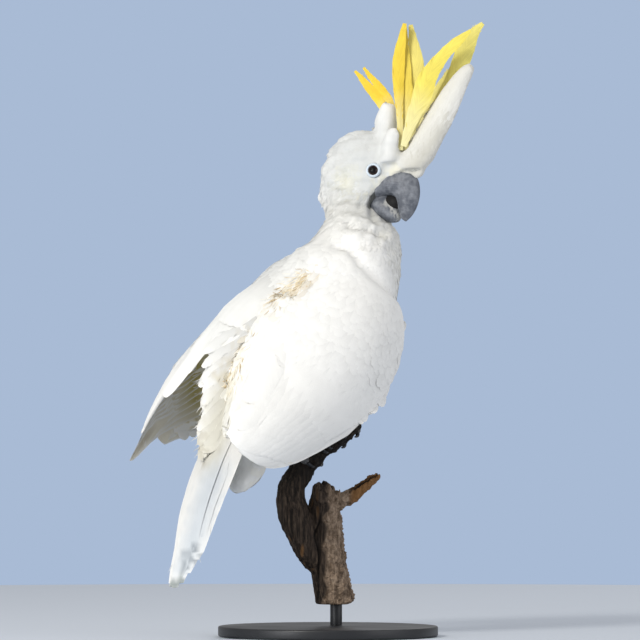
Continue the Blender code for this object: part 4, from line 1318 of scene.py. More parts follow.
ROUND_TIP = (  # how far along each row lies, and its half width as a share of the whole
    (0.0, 0.08, 0.25, 0.5, 0.72, 0.84, 0.91, 0.96, 0.99, 1.0),
    (0.35, 0.62, 0.85, 1.0, 1.0, 0.94, 0.80, 0.58, 0.30, 0.08),
)
LONG_TIP = (
    (0.0, 0.08, 0.25, 0.5, 0.68, 0.80, 0.89, 0.95, 0.985, 1.0),
    (0.30, 0.55, 0.80, 1.0, 0.98, 0.86, 0.68, 0.46, 0.24, 0.06),
)


@dataclass(frozen=True)
class FeatherRow:
    """A row of large feathers on a wing sheet, from the first at one edge to the last."""

    count: int
    root_u: tuple  # at the first and the last feather
    root_v: tuple
    tip_u: tuple
    tip_v: tuple
    width_mm: tuple
    high: tuple  # a feather's height at its root and tip, as a share of half the wing's thickness
    stack_mm: float = 1.0  # how much higher the last feather lies than the first
    tip: tuple = ROUND_TIP


@dataclass
class FlightFeathers:
    """The large feathers of one folded wing."""

    sheet: WingSheet
    rows: tuple
    finish: Material
    nodes: tuple = ()
    relief: float = 1.0  # how far each feather's edges fall away from its shaft
    thickness: float = 0.00045
    shaft: float = 0.00035  # how far the shaft stands up
    ring: tuple = (1.0, 0.55, 0.0, -0.55, -1.0, -0.55, 0.0, 0.55)

    def feather(self, row: FeatherRow, share: float, rng: Generator) -> tuple[Array, Array, Array]:
        """One feather laid on the sheet.

        Args:
            row: The row that it is in.
            share: From 0 to 1, its place in the row.
            rng: The source of small differences.

        Returns:
            Its rings, its colours before shading, and the way out at each point.
        """
        pick = lambda pair: pair[0] + (pair[1] - pair[0]) * share
        t = np.array(row.tip[0])
        wide = np.array(row.tip[1]) * pick(row.width_mm) * MM / 2
        u = pick(row.root_u) + (pick(row.tip_u) + rng.normal(0, 0.014) - pick(row.root_u)) * t
        centre_v = (pick(row.root_v) + (pick(row.tip_v) - pick(row.root_v)) * t**1.3)[:, None]
        around = np.array(self.ring)
        spread = around[None, :] * (wide / np.maximum(self.sheet.chord(u), 0.01))[:, None]
        u = np.broadcast_to(u[:, None], spread.shape)
        place, normal, half = self.sheet.at(u, np.clip(centre_v + spread, -0.04, 1.04))
        if np.cross(place[-2, 2] - place[0, 2], normal[0, 2]) @ (place[4, 0] - place[4, 4]) < 0:
            place, normal, half = self.sheet.at(u, np.clip(centre_v - spread, -0.04, 1.04))
        top = np.where(np.arange(8) < 4, 1.0, -0.15) * (1 - around**2) * self.thickness
        top[2] += self.shaft
        raised = row.high[0] + (row.high[1] - row.high[0]) * t[:, None]
        stacked = row.stack_mm * MM * share * np.clip(t * 2.4, 0, 1)[:, None]
        high = half[:, 2:3] * raised + stacked + top[None, :] - (around**2)[None, :] * 0.0006 * self.relief
        rings = place + normal * high[..., None]
        tones = MARKINGS_AND_SHADE.tone(rings.reshape(-1, 3)).reshape(rings.shape)
        tones[:, 5:] = UNDER_MARKINGS_AND_SHADE.tone(rings[:, 5:].reshape(-1, 3)).reshape(-1, 3, 3)
        edge = unit(place[:, :1] - place[:, 4:5]) * around[None, :, None]
        return rings, tones * rng.normal(1.0, 0.012), unit(normal + edge * 0.17 * self.relief)

    def build(self, name: str) -> None:
        """Lay all rows as one piece of this name."""
        plumes = Plumes(name)
        rng = default_rng(31)
        across = (1.0, 0.78, 0.5, 0.22, 0.0, 0.22, 0.5, 0.78)
        places = [(row, i / max(row.count - 1, 1)) for row in self.rows for i in range(row.count)]
        for number, (row, share) in enumerate(places):
            rings, tones, ups = self.feather(row, share, rng)
            # painted shade: each feather darker towards its root, where the next one overlaps it
            shade = np.interp(row.tip[0], (0.0, 0.5, 1.0), (0.84, 0.96, 1.0))[:, None, None]
            tones = np.clip(tones * shade, 0, 1)
            patch = np.array([(number % 8) / 8 + 0.01, (number // 8) / math.ceil(len(places) / 8 + 1)])
            plumes.add(rings[None], across, row.tip[0], tones[None], patch[None], ups[None], 0.09)
        plumes.build(self.finish, "feather_white", *self.nodes)


RIGHT_ROWS = (
    FeatherRow(7, (0.42, 0.4), (0.96, 0.7), (0.86, 0.99), (0.95, 0.6), (15, 18), (-0.6, 0), 1.6, LONG_TIP),
    FeatherRow(9, (0.34, 0.34), (0.94, 0.24), (0.76, 0.97), (0.93, 0.42), (22, 27), (-0.8, 0.45), 1.4),
    FeatherRow(3, (0.34, 0.34), (0.3, 0.1), (0.93, 0.67), (0.28, 0.13), (28, 27), (-0.8, 0.8), 1.1),
)
LEFT_ROWS = (
    FeatherRow(8, (0.4, 0.38), (0.92, 0.6), (1, 0.86), (0.62, 0.5), (13, 18), (-0.5, -0.1), 0.5, LONG_TIP),
    FeatherRow(11, (0.34, 0.34), (0.96, 0.08), (0.72, 0.88), (0.92, 0.1), (20, 24), (-0.2, 0.4), 0.5),
)
BACK_ROWS = (
    FeatherRow(8, (0.48, 0.44), (0.95, 0.06), (0.86, 0.99), (0.97, 0.06), (19, 22), (-0.1, 0.7), 1),
    FeatherRow(7, (0.3, 0.26), (0.92, 0.08), (0.7, 0.74), (0.93, 0.08), (18, 20), (0.6, 1.15), 0.8),
)
BAND_ROWS = (
    FeatherRow(3, (0.3, 0.2), (0.85, 0.15), (1, 0.97), (0.6, 0.35), (11, 14), (0, 0.3), 0.5, LONG_TIP),
    FeatherRow(4, (0.08, 0.04), (0.88, 0.12), (0.74, 0.66), (0.9, 0.2), (13, 14), (0.2, 0.8), 0.6),
)


# ---------- skin


@dataclass(frozen=True)
class Crease:
    """A soft furrow between two rolls of plumage, in millimetres."""

    line: tuple
    radius: float
    deep: float

    def depth(self, points: Array) -> Array:
        """How far in the skin lies for it at each point."""
        near = distance_to(metres(self.line), points)
        return metres(self.deep) * np.exp(-((near / metres(self.radius)) ** 2))


@dataclass
class Skin:
    """One skin over head, neck, trunk, thighs and the fleshy part of each wing, under the coat."""

    finish: Material
    voxel: float = 0.0022
    depth_share: float = 0.085  # the coat's depth, as a share of the feathers' length there
    rounds: int = 16
    fold: float = 0.015  # from one soft fold of the neck's and head's loose plumage to the next
    fold_depth: float = 0.0052
    under_bill_depth: float = 0.0065
    most: float = 0.33  # how far the skin may be drawn in, as a share of the flesh's thickness
    crown_swell: float = 0.0022
    swell: float = 0.0012  # what smoothing takes off the crest's thin edges, put on first
    rolls: tuple = (  # the folded white feathers of the crest: how far to the left, and the sections of each
        (0, ((20, -9, 12.5, 10, -38), (31, -3, 13.5, 14, -38), (42, 3.5, 13.2, 16.2, -38),
          (49, 12, 12, 15.2, -38), (57, 21, 11, 15.6, -37), (66, 34, 9.5, 14, -35),
          (75.5, 48, 8.5, 12.2, -35), (86.5, 66, 7.5, 10.2, -35), (97.5, 84, 6, 8, -35),
          (105.5, 97, 4.5, 5.6, -35), (108.5, 101.5, 2, 2.8, -35))),
        (2, ((12.5, 32, 11, 12.5, 0), (12, 45, 10, 11.8, 0), (12.5, 55, 9, 10.8, 0), (14, 62, 7.5, 9, 0),
          (15, 66.5, 4.8, 5.5, 0), (15.2, 68, 2, 2.5, 0))),
        (-12, ((21, 8, 9, 12, 0), (24.5, 18, 8.5, 10.8, 0), (27, 28, 7.5, 9.4, 0), (28.5, 36, 6.2, 8, 0),
          (29, 41.5, 4, 5, 0), (29, 43, 1.8, 2.2, 0))),
    )
    creases: tuple = (
        Crease(((-8, -23, 392), (0, -35, 388), (2, -45, 376), (14, -55, 361), (28, -58, 349),
            (46, -55, 338)), 6.5, 5.2),  # under the roll of the breast
        Crease(((10, -19, 413), (19, -28, 409), (28, -36, 408), (40, -41, 404)), 6, 6),
        Crease(((15, 27, 429), (23, 18, 430), (26, 12, 442)), 5, 4.6),  # under the nape
        Crease(((36, 14, 492), (35, 4, 484), (33, -3, 475)), 3.5, 2),
        Crease(((49, -20, 437), (42, -24, 424), (33, -24, 411)), 5, 4.4),  # behind the cheek
        Crease(((33, 18, 476), (31, 8, 466), (26, 2, 455)), 4, 2),
    )
    flesh: tuple = (
        "head", "neck", "trunk", "thigh_left", "thigh_right", "crest_front", "crest_rear",
    )
    stands_for: tuple = ("crest_middle", "wing_left_coverts", "wing_right_coverts")

    def build(self) -> Object:
        """Grow the pieces together and draw the skin in by the coat's depth."""
        parts = [merged_copy(node, "skin_part") for node in self.flesh]
        parts += [RIGHT_SHEET.core("right_core"), LEFT_SHEET.core("left_core")]
        parts += [BACK_SHEET.core("back_core", 0.7, 0.4), PARTING_SHEET.core("parting_core", 1.0, 0.9)]
        parts += [head_tube("roll", sections, aside)[0] for aside, sections in self.rolls]
        for part, node in zip(parts, self.flesh):
            points = vertices(part.data)
            if node == "head":  # only its crown and nape, where the plumage is loosest
                forward = (points - from_head((0.0, 0.0, 0.0))) @ turned_from_head((1.0, 0.0, 0.0))
                more = self.crown_swell * np.clip((0.006 - forward) / 0.010, 0, 1)[:, None]
            else:
                more = self.swell * node.startswith("crest")
            move_vertices(part.data, points + vertex_normals(part.data) * more)
        select_only(*parts)
        bpy.ops.object.join()
        skin = bpy.context.view_layer.objects.active
        skin.name = skin.data.name = "skin"
        apply_modifier(skin, "REMESH", mode="VOXEL", voxel_size=self.voxel)
        apply_modifier(skin, "SMOOTH", factor=0.5, iterations=2)
        self.choose_loose(skin)
        apply_modifier(skin, "SMOOTH", factor=0.5, iterations=self.rounds, vertex_group="loose")
        self.draw_in(skin)
        apply_modifier(skin, "SMOOTH", factor=0.5, iterations=2)
        self.colour(skin)
        finish_piece(skin, "feather_white", *self.flesh, *self.stands_for)
        return skin

    @staticmethod
    def choose_loose(skin: Object) -> None:
        """Group the vertices where the plumage is long and soft, which are smoothed most."""
        points = vertices(skin.data)
        _, sizes, owner = LIE.read(points)
        weight = np.clip((sizes[:, 0] - 0.006) / 0.008, 0.0, 1.0) * (owner != LIE.names.index("crest"))
        group = skin.vertex_groups.new(name="loose")
        for step in range(1, 11):
            chosen = np.flatnonzero(np.round(weight * 10) == step)
            group.add(chosen.tolist(), step / 10, "REPLACE")

    def draw_in(self, skin: Object) -> None:
        """Move the skin inwards by the coat's depth, its soft folds and its creases."""
        mesh = skin.data
        points, normals = vertices(mesh), vertex_normals(mesh)
        tree = BVHTree.FromPolygons(points.tolist(), [tuple(p.vertices) for p in mesh.polygons])
        room = np.empty(len(points))
        for i, (point, normal) in enumerate(zip(points.tolist(), normals.tolist())):
            inwards = -Vector(normal)
            hit = tree.ray_cast(Vector(point) + inwards * 0.0003, inwards)
            room[i] = hit[3] if hit[0] is not None else 0.02
        length = LIE.read(points)[1][:, 0]
        depth = np.minimum(length, 0.016) * self.depth_share * (1 - 0.8 * LIE.share(points, "crest"))
        depth *= 1 - 0.4 * LIE.share(points, "head")
        loose = LIE.share(points, "head", "neck")
        folds = np.clip(0.5 + 0.6 * ripple(points * (1, 1, 1.5), self.fold, 21), 0, 1) * loose
        depth = depth + folds * self.fold_depth * np.clip(length / 0.012, 0.40, 0.55)
        for crease in self.creases:
            depth = depth + crease.depth(points)
        depth = depth + self.under_bill_depth * under_bill(points)
        move_vertices(mesh, points - normals * np.minimum(depth, room * self.most)[:, None])

    def colour(self, skin: Object) -> None:
        """Unwrap the skin, paint its markings and painted shade a little darker than the coat's, and give it
        its finish.
        """
        mesh = skin.data
        layer = mesh.uv_layers.new(name="OFBake")
        mesh.uv_layers.active = layer
        select_only(skin)
        bpy.ops.object.mode_set(mode="EDIT")
        bpy.ops.mesh.select_all(action="SELECT")
        bpy.ops.uv.smart_project(angle_limit=1.15, island_margin=0.004)
        bpy.ops.object.mode_set(mode="OBJECT")
        mesh.materials.clear()
        paint(mesh, plumage_tone(vertices(mesh), vertex_normals(mesh)) * 0.975)
        dress(skin, self.finish)


# ---------- long feathers on lines


@dataclass(frozen=True)
class Plume:
    """One long feather along a line of its own."""

    line: Sequence  # metres
    widths_mm: Sequence
    face: Sequence
    thickness_mm: float = 1.2
    ragged: float = 0.12  # how deep the vane's splits go, as a share of its half width
    camber: float = 0.18
    in_head: bool = False  # whether its line is in the head's frame

    rows = 30
    around = (1.0, 0.6, 0.0, -0.6, -1.0, -0.6, 0.0, 0.6)
    across = (1.0, 0.8, 0.5, 0.2, 0.0, 0.2, 0.5, 0.8)

    def sides(self, along: Array) -> tuple[Array, Array]:
        """The way right and the way out of its face, where it runs along these ways."""
        right = unit(np.cross(along, unit(np.array(self.face, float))[None]))
        return right, np.cross(right, along)

    def placed(self, points: Array, ups: Array) -> tuple[Array, Array]:
        """Points and ways in the world's frame."""
        return (from_head(points), turned_from_head(ups)) if self.in_head else (points, ups)

    def rings(self, rng: Generator) -> tuple[Array, Array]:
        """The feather's points.

        Args:
            rng: The source of its splits.

        Returns:
            Its points, by row and place round the row, and the way out of its face at each.
        """
        t = np.linspace(0, 1, self.rows)
        line = read_track(smoothed(self.line, 8), t)
        widths = read_track(smoothed(self.widths_mm, 8), t) * MM
        right, normal = self.sides(unit(np.gradient(line, axis=0)))
        a = np.array(self.around)
        half = np.maximum(widths / 2, 0.0006)
        splits = np.ones((self.rows, 2))
        for edge in range(2):
            for _ in range(4):
                middle = rng.uniform(0.25, 0.95)
                notch = np.exp(-(((t - middle) / 0.022) ** 2))
                splits[:, edge] -= self.ragged * rng.uniform(0.3, 1.0) * notch
        splits *= 1 + self.ragged * 0.35 * rng.normal(size=(self.rows, 2))
        reach = np.where(a[None, :] >= 0, splits[:, :1], splits[:, 1:])
        lens = (1 - a**2) * self.thickness_mm * MM / 2
        top = np.where(np.arange(8) < 4, 1.0, -1.0) * lens
        top[2] += self.thickness_mm * MM * 0.25
        slim = np.minimum(1.0, half / half.max() + 0.25)
        wide = a[None, :] * reach * half[:, None]
        high = top[None, :] * slim[:, None] - (a[None, :] ** 2) * self.camber * half[:, None]
        points = line[:, None] + right[:, None] * wide[..., None] + normal[:, None] * high[..., None]
        return self.placed(points, unit(normal[:, None] + right[:, None] * (a * 0.16)[None, :, None]))

    def barbs(self, count: int, rng: Generator) -> tuple[Array, Array]:
        """Loose barbs that stand out from both edges of the feather.

        Args:
            count: How many barbs.
            rng: The source of their differences.

        Returns:
            Their points, by barb, row and place round the row, and the way out at each.
        """
        t = rng.uniform(0.12, 0.98, count)
        line, widths = smoothed(self.line, 8), smoothed(self.widths_mm, 8) * MM
        along_track = unit(np.gradient(line, axis=0))
        place, along = read_track(line, t), unit(read_track(along_track, t))
        half = np.maximum(read_track(widths, t) / 2, 0.0006)[:, None]
        right, normal = self.sides(along)
        side = rng.choice((-1.0, 1.0), count)[:, None]
        start = place + right * side * half * 0.55 - normal * self.camber * half * 0.3
        reach = half * rng.uniform(0.45, 0.75, (count, 1)) + 0.0006
        way = right * side * 0.42 + along * rng.uniform(0.9, 1.3, (count, 1))
        way = unit(way + normal * rng.normal(0, 0.06, (count, 1)))
        thick = 0.00022
        rows = []
        for share, size in ((0.0, 1.2), (0.55, 0.9), (1.0, 0.15)):
            middle = start + way * reach * share * 1.5 + along * reach * 0.25 * share**2
            edge = np.cross(way, normal)
            rows.append(np.stack([
                middle + edge * thick * 1.8 * size, middle + normal * thick * size,
                middle - edge * thick * 1.8 * size, middle - normal * thick * size,
            ], axis=1))
        points = np.stack(rows, axis=1)
        return self.placed(points, np.broadcast_to(normal[:, None, None], points.shape))


def add_plume(
    plumes: Plumes, plume: Plume, rng: Generator,
    tones: Callable[[Array, Array], Array], cell: int, barbs: int,
) -> None:
    """Put a long feather and its loose barbs into a piece.

    Args:
        plumes: The piece.
        plume: The feather.
        rng: The source of its differences.
        tones: Gives the colours for places and how far along they are.
        cell: The number of its patch on the bake's map.
        barbs: How many loose barbs it has.
    """
    rings, ups = plume.rings(rng)
    t = np.linspace(0, 1, plume.rows)
    colours = tones(rings.reshape(-1, 3), np.repeat(t, 8)).reshape(rings.shape)
    corner = np.array([(cell % 16) / 16 + 0.005, (cell // 16 % 16) / 16 + 0.005])
    plumes.add(rings[None], plume.across, t, colours[None], corner[None], ups[None], 0.05)
    points, ups = plume.barbs(barbs, rng)
    colours = tones(points.reshape(-1, 3), np.full(barbs * 12, 0.7)).reshape(points.shape)
    corners = np.tile(corner, (barbs, 1)) + rng.random((barbs, 2)) * 0.045
    plumes.add(points, FLAT_RING, (0.0, 0.5, 1.0), colours, corners, ups)


@dataclass(frozen=True)
class Fan:
    """Overlapping feathers side by side, whose middle lines run through a few rows of places."""

    stations: tuple  # rows of places across the fan in millimetres, from the roots to the tips
    count: int
    feather_mm: float
    face: tuple
    profile: tuple = (0.45, 0.80, 1.0, 1.0, 0.92, 0.62, 0.14)
    top: float = 0.0  # which feather lies uppermost, from 0 to 1
    stack_mm: float = 6.0  # how much deeper the far feathers lie than the uppermost
    roof: float = 0.0  # how much the feathers tilt outwards on both sides of the uppermost
    ragged: float = 0.06
    barbs: int = 6
    jitter_mm: float = 1.0
    thickness_mm: float = 0.8
    camber: float = 0.14
    seed: int = 0

    def plumes(self) -> list[Plume]:
        """The feathers in their order."""
        rng = default_rng(400 + self.seed)
        rows = [smoothed(metres(row), 8) for row in self.stations]
        face = unit(np.array(self.face, float))
        across = unit(rows[-1][-1] - rows[-1][0])
        made = []
        for i in range(self.count):
            share = i / max(self.count - 1, 1)
            off = share - self.top
            line = np.array([read_track(row, np.array([share]))[0] for row in rows])
            line -= face * abs(off) * self.stack_mm * MM * np.linspace(0.5, 1.0, len(line))[:, None]
            line += rng.normal(0, self.jitter_mm * MM, line.shape) * np.linspace(0.0, 1.0, len(line))[:, None]
            profile = np.array(self.profile) * self.feather_mm * rng.uniform(0.92, 1.08)
            turned = unit(face + across * off * self.roof)
            made.append(Plume(line, profile, turned, self.thickness_mm, self.ragged, self.camber))
        return made


# ---------- crest and tail


@dataclass
class Crest:
    """Eight long yellow feathers that stand up and curl."""

    yellow_finish: Material
    barbs: int = 22
    plumes: tuple = (  # the colour, how far to the left, the line forward and up, the widths and the face
        ("#F7D440", 12, ((8, 30), (8, 48), (1, 66), (-9, 78), (-20, 90), (-31, 101)), (6, 7, 9, 10, 7, 2.5),
         (0.35, -0.9, 0.1)),
        ("#F7D440", 9, ((19, 30), (19, 52), (11, 71), (1, 83), (-9, 93), (-19, 104)), (6, 6, 8, 8, 6, 2.5),
         (0.4, -0.88, 0.1)),
        ("#F4D548", -7, ((34, 20), (34, 42), (33, 64), (32, 82), (32, 104), (35, 126), (39, 147)),
         (6, 6, 8, 11, 13, 10, 3), (0.5, -0.86, 0)),
        ("#F3DB5C", -1, ((37, 20), (38, 40), (38, 62), (38, 82), (35, 106), (35, 127), (36, 147)),
         (5, 7, 10, 12, 13, 9, 3), (0.4, -0.9, 0)),
        ("#EFE07C", 7, ((32, 24), (36, 50), (41, 72), (45, 90), (45, 106), (41, 128), (38, 146)),
         (5, 6, 9, 13, 15, 10, 3.5), (0.55, -0.84, 0)),
        ("#F0DE62", -9, ((39, 24), (45, 40), (52, 56), (59, 70), (65, 86), (74, 101), (89, 117), (103, 128),
         (117, 138)), (6, 10, 15, 19, 20, 16, 12, 10, 3), (0.45, -0.88, 0.1)),
        ("#EDE17C", 14, ((34, 20), (48, 48), (63, 66), (74, 80), (85, 94), (93, 110), (99, 125), (107, 136),
         (118, 146)), (6, 7, 8, 12, 16, 18, 18, 12, 4), (0.5, -0.85, 0.1)),
        ("#EAE08C", 22, ((27, 22), (39, 48), (54, 71), (66, 87), (73, 100)), (6, 7, 9, 9, 3),
         (0.5, -0.85, 0.1)),
    )

    def build(self) -> None:
        """Make the yellow feathers, each a piece of its own."""
        for number, (colour, aside, line, widths, face) in enumerate(self.plumes):
            name = "crest_feather_%d" % (number + 1)
            plumes = Plumes(name + "_vane")
            rng = default_rng(300 + number)
            line = metres((forward, aside, up) for forward, up in line)

            def tones(points: Array, far: Array, tip: tuple = to_linear(colour)) -> Array:
                """Yellow, paler down at the root."""
                share = np.interp(far, (0.0, 0.25, 0.5), (0.0, 0.35, 1.0))[:, None]
                mixed = np.array(to_linear("#F1E9B0")) * (1 - share) + np.array(tip) * share
                return np.clip(mixed * (1 + 0.03 * ripple(points, 7 * MM, 3)[:, None]), 0, 1)

            add_plume(plumes, Plume(line, widths, face, 0.8, 0.09, 0.08, True), rng, tones, 0, self.barbs)
            plumes.build(self.yellow_finish, "feather_yellow", name)


@dataclass
class LongPlumage:
    """The tail, and the drooping left wing's long inner feathers."""

    finish: Material
    tail: tuple = (
        Fan((
            ((-112, 13, 230), (-114, 0, 232), (-112, -13, 230)),
            ((-143, 22, 186), (-146, 4, 186), (-142, -18, 186)),
            ((-168, 21, 134), (-170, 6, 134), (-166, -12, 134)),
            ((-184, 14, 90), (-188, 2, 88), (-183, -11, 96)),
            ((-199, 11, 58), (-203, 3, 53), (-199, -6, 60), (-191, -15, 80)),
        ), 6, 24, (-0.92, 0, 0.38), (0.5, 0.8, 0.95, 1, 1, 0.85, 0.35), top=0.5, stack_mm=2.4, roof=0.3,
            ragged=0.025, barbs=3, jitter_mm=0.5, camber=0.06, seed=1),
    )
    inner: tuple = (
        Fan((
            ((-84, 12, 322), (-100, 14, 296), (-114, 16, 274), (-124, 15, 254), (-127, 10, 238),
             (-132, 6, 222)),
            ((-108, 30, 300), (-118, 27, 278), (-128, 25, 258), (-136, 20, 238), (-143, 16, 218),
             (-148, 10, 200)),
            ((-122, 42, 284), (-133, 36, 260), (-138, 30, 244), (-143, 22, 224), (-153, 20, 206),
             (-156, 14, 188)),
        ), 8, 22, (-0.64, -0.5, 0.58), (0.5, 0.85, 1, 1, 0.95, 0.72, 0.25), stack_mm=3, camber=0.22, seed=2),
        Fan((
            ((-88, 8, 318), (-103, 12, 294), (-117, 14, 272), (-127, 13, 252), (-129, 8, 238),
             (-134, 5, 222)),
            ((-110, 28, 301), (-121, 26, 277), (-131, 24, 258), (-138, 19, 238), (-145, 14, 219),
             (-150, 9, 200)),
            ((-125, 45, 283), (-136, 39, 257), (-140, 32, 242), (-146, 23, 222), (-156, 22, 201),
             (-159, 16, 181)),
        ), 9, 15, (-0.64, -0.5, 0.58), (0.5, 0.85, 1, 1, 0.95, 0.72, 0.25), stack_mm=4.5, ragged=0.07,
            barbs=8, jitter_mm=1.4, camber=0.3, seed=3),
    )

    def build(self) -> None:
        """Make each group of fans as one piece."""
        groups = ("tail_feathers", "tail"), ("left_inner_feathers", "wing_left_tertials")
        for number, ((name, node), fans) in enumerate(zip(groups, (self.tail, self.inner))):
            plumes = Plumes(name)
            rng = default_rng(500 + number)
            feathers = [(plume, fan.barbs) for fan in fans for plume in reversed(fan.plumes())]
            for cell, (plume, barbs) in enumerate(feathers):
                add_plume(plumes, plume, rng, self.tones, cell, barbs)
            plumes.build(self.finish, "feather_white", node)

    @staticmethod
    def tones(points: Array, far: Array) -> Array:
        """White, greyer towards the roots: painted shade where each feather lies under the next."""
        shade = np.interp(far, (0.0, 0.55, 0.9, 1.0), (0.70, 0.86, 0.97, 1.0))[:, None]
        return np.clip(MARKINGS_AND_SHADE.tone(points) * shade, 0, 1)


# ---------- head


@dataclass
class Bill:
    """The hooked upper half and the cupped lower half, smooth horn with a ridge along the top."""

    finish: Material
    lining: Material
    worn_width: float = 0.0026
    mouth: tuple = ((21.2, 0, -32.8), (12.8, 9.4, 8.5))  # the dark inside: centre and radii
    worn_line: tuple = ((18.6, -10, -26), (21.6, -9, -33), (25.6, -6, -41), (28.4, -3, -45), (30, 0, -50))
    upper: tuple = (
        (8.5, -20.5, 14.5, 8.5, 86), (16.5, -14, 15, 12.5, 78), (27.2, -12.5, 13.8, 14.8, 62),
        (36, -16.8, 11.2, 15.6, 40), (38.8, -25, 9.8, 13.5, 12), (37.6, -34.2, 8, 11.6, -8),
        (35.4, -42.1, 5.6, 8.4, -26), (33.3, -48.8, 2.6, 4, -38),
    )
    lower: tuple = (
        (3, -31, 10.5, 11, 50), (9.5, -35.5, 13, 13.4, 53), (16.9, -40, 12.5, 12.4, 53),
        (22.7, -44.3, 10, 9.8, 54), (26.7, -47.3, 6.5, 6.2, 56), (28.5, -49.2, 3, 3, 58),
    )

    def wear(self, horn: Object, local: Array) -> None:
        """Mark the pale flaking line along the lower half's edge, on both sides."""
        folded = local.copy()
        folded[:, 1] = -np.abs(folded[:, 1])
        reach = self.worn_width * (1 + 0.45 * ripple(local, 3 * MM, 5))
        store(horn.data, "worn", np.clip(1.5 - distance_to(metres(self.worn_line), folded) / reach, 0, 1))

    def build(self) -> None:
        """Make both halves and the dark inside between them."""
        upper, _ = head_tube("bill_upper_horn", self.upper, pinch=0.16, ridge=0.03)
        lower, local = head_tube("bill_lower_horn", self.lower, pinch=0.16)
        self.wear(lower, local)
        bpy.ops.object.select_all(action="DESELECT")
        bpy.ops.mesh.primitive_uv_sphere_add(segments=32, ring_count=16, radius=1.0, location=(0, 0, 0))
        mouth = added("mouth_lining")
        centre, radii = metres(self.mouth)
        move_vertices(mouth.data, from_head(vertices(mouth.data) * radii + centre))
        for obj, finish, *nodes in (
            (upper, self.finish, "bill_upper"), (lower, self.finish, "bill_lower"), (mouth, self.lining),
        ):
            dress(obj, finish)
            finish_piece(obj, "bill_grey", *nodes)


@dataclass
class Eyes:
    """Dark wet eyeballs with a clear bulge in front, each in a ring of bare wrinkled skin."""

    ball_finish: Material
    lid_finish: Material
    cornea: float = 0.0004  # how far the front bulges
    around: int = 72
    section: tuple = (  # how far out from the eye's middle and forward the ring's points lie, in millimetres
        (5, 4), (5.4, 4.8), (5.9, 5), (6.5, 4.5), (7.1, 4), (7.6, 2.8), (7.4, 1.8), (6, 1), (5.2, 1.2),
        (4.9, 2.8),
    )

    def build(self) -> None:
        """Make both eyes and both rings."""
        for side in Side:
            centre = middle_of("eye_" + side.value)
            outwards = unit(turned_from_head(EYE_OUTWARDS[side.value]))
            self.ball(side, centre, outwards)
            self.lid(side, centre, outwards)

    def ball(self, side: Side, centre: Array, outwards: Array) -> None:
        """One eyeball, its front drawn out to a cornea."""
        bpy.ops.object.select_all(action="DESELECT")
        bpy.ops.mesh.primitive_uv_sphere_add(
            segments=48, ring_count=32, radius=EYE_RADIUS, location=centre.tolist(),
        )
        obj = added("eyeball_" + side.value)
        points = vertices(obj.data)
        away = (points - centre) @ outwards / EYE_RADIUS
        front = np.clip((away - 0.72) / 0.28, 0, 1)
        move_vertices(obj.data, points + outwards * (front**1.2 * self.cornea)[:, None])
        store(obj.data, "ring", np.sqrt(np.clip(1 - away**2, 0, 1)) + (away < 0))
        dress(obj, self.ball_finish)
        finish_piece(obj, "eye_brown", "eye_" + side.value)

    def lid(self, side: Side, centre: Array, outwards: Array) -> None:
        """One ring of bare skin, with small folds round it."""
        up = unit(np.array((0.0, 0.0, 1.0)) - outwards * outwards[2])
        across = np.cross(up, outwards)
        turn = np.arange(self.around) * 2 * math.pi / self.around
        section = np.array(metres(self.section))
        folds = 1 + 0.020 * np.sin(turn * 17 + 1.3) + 0.014 * np.sin(turn * 29)
        way = np.cos(turn)[:, None] * across + np.sin(turn)[:, None] * up * 0.96
        points = (
            centre + way[:, None] * (section[None, :, 0] * folds[:, None])[..., None]
            + outwards * (section[None, :, 1] * (1 + 0.03 * np.sin(turn * 23)[:, None]))[..., None]
        )
        grid = np.arange(turn.size * len(section)).reshape(turn.size, -1)
        obj = mesh_object("lid_ring_" + side.value, points.reshape(-1, 3), bands(grid, np.roll(grid, -1, 0)))
        face_out(obj)
        dress(obj, self.lid_finish)
        finish_piece(obj, "lid_blue", "lid_" + side.value)


# ---------- feet, branch and stand


@dataclass
class Feet:
    """Scaly toes and dark curved claws, rounded off from the plain solids."""

    skin_finish: Material
    claw_finish: Material
    roughness: float = 0.00022
    swell: float = 0.0003  # what subdivision takes off

    def build(self) -> None:
        """Make both feet and the eight claws."""
        for side in Side:
            node = "foot_" + side.value
            foot = merged_copy(node, "toes_" + side.value)
            apply_modifier(foot, "SUBSURF", levels=2, render_levels=2)
            points, normals = vertices(foot.data), vertex_normals(foot.data)
            rough = self.roughness * ripple(points, 3.2 * MM, 4) + self.swell
            move_vertices(foot.data, points + normals * rough[:, None])
            dress(foot, self.skin_finish)
            finish_piece(foot, "foot_grey", node)
            for number in range(1, 5):
                node = "claw_%s_%d" % (side.value, number)
                claw = merged_copy(node, node + "_horn")
                apply_modifier(claw, "SUBSURF", levels=2, render_levels=2)
                dress(claw, self.claw_finish)
                finish_piece(claw, "foot_grey", node)


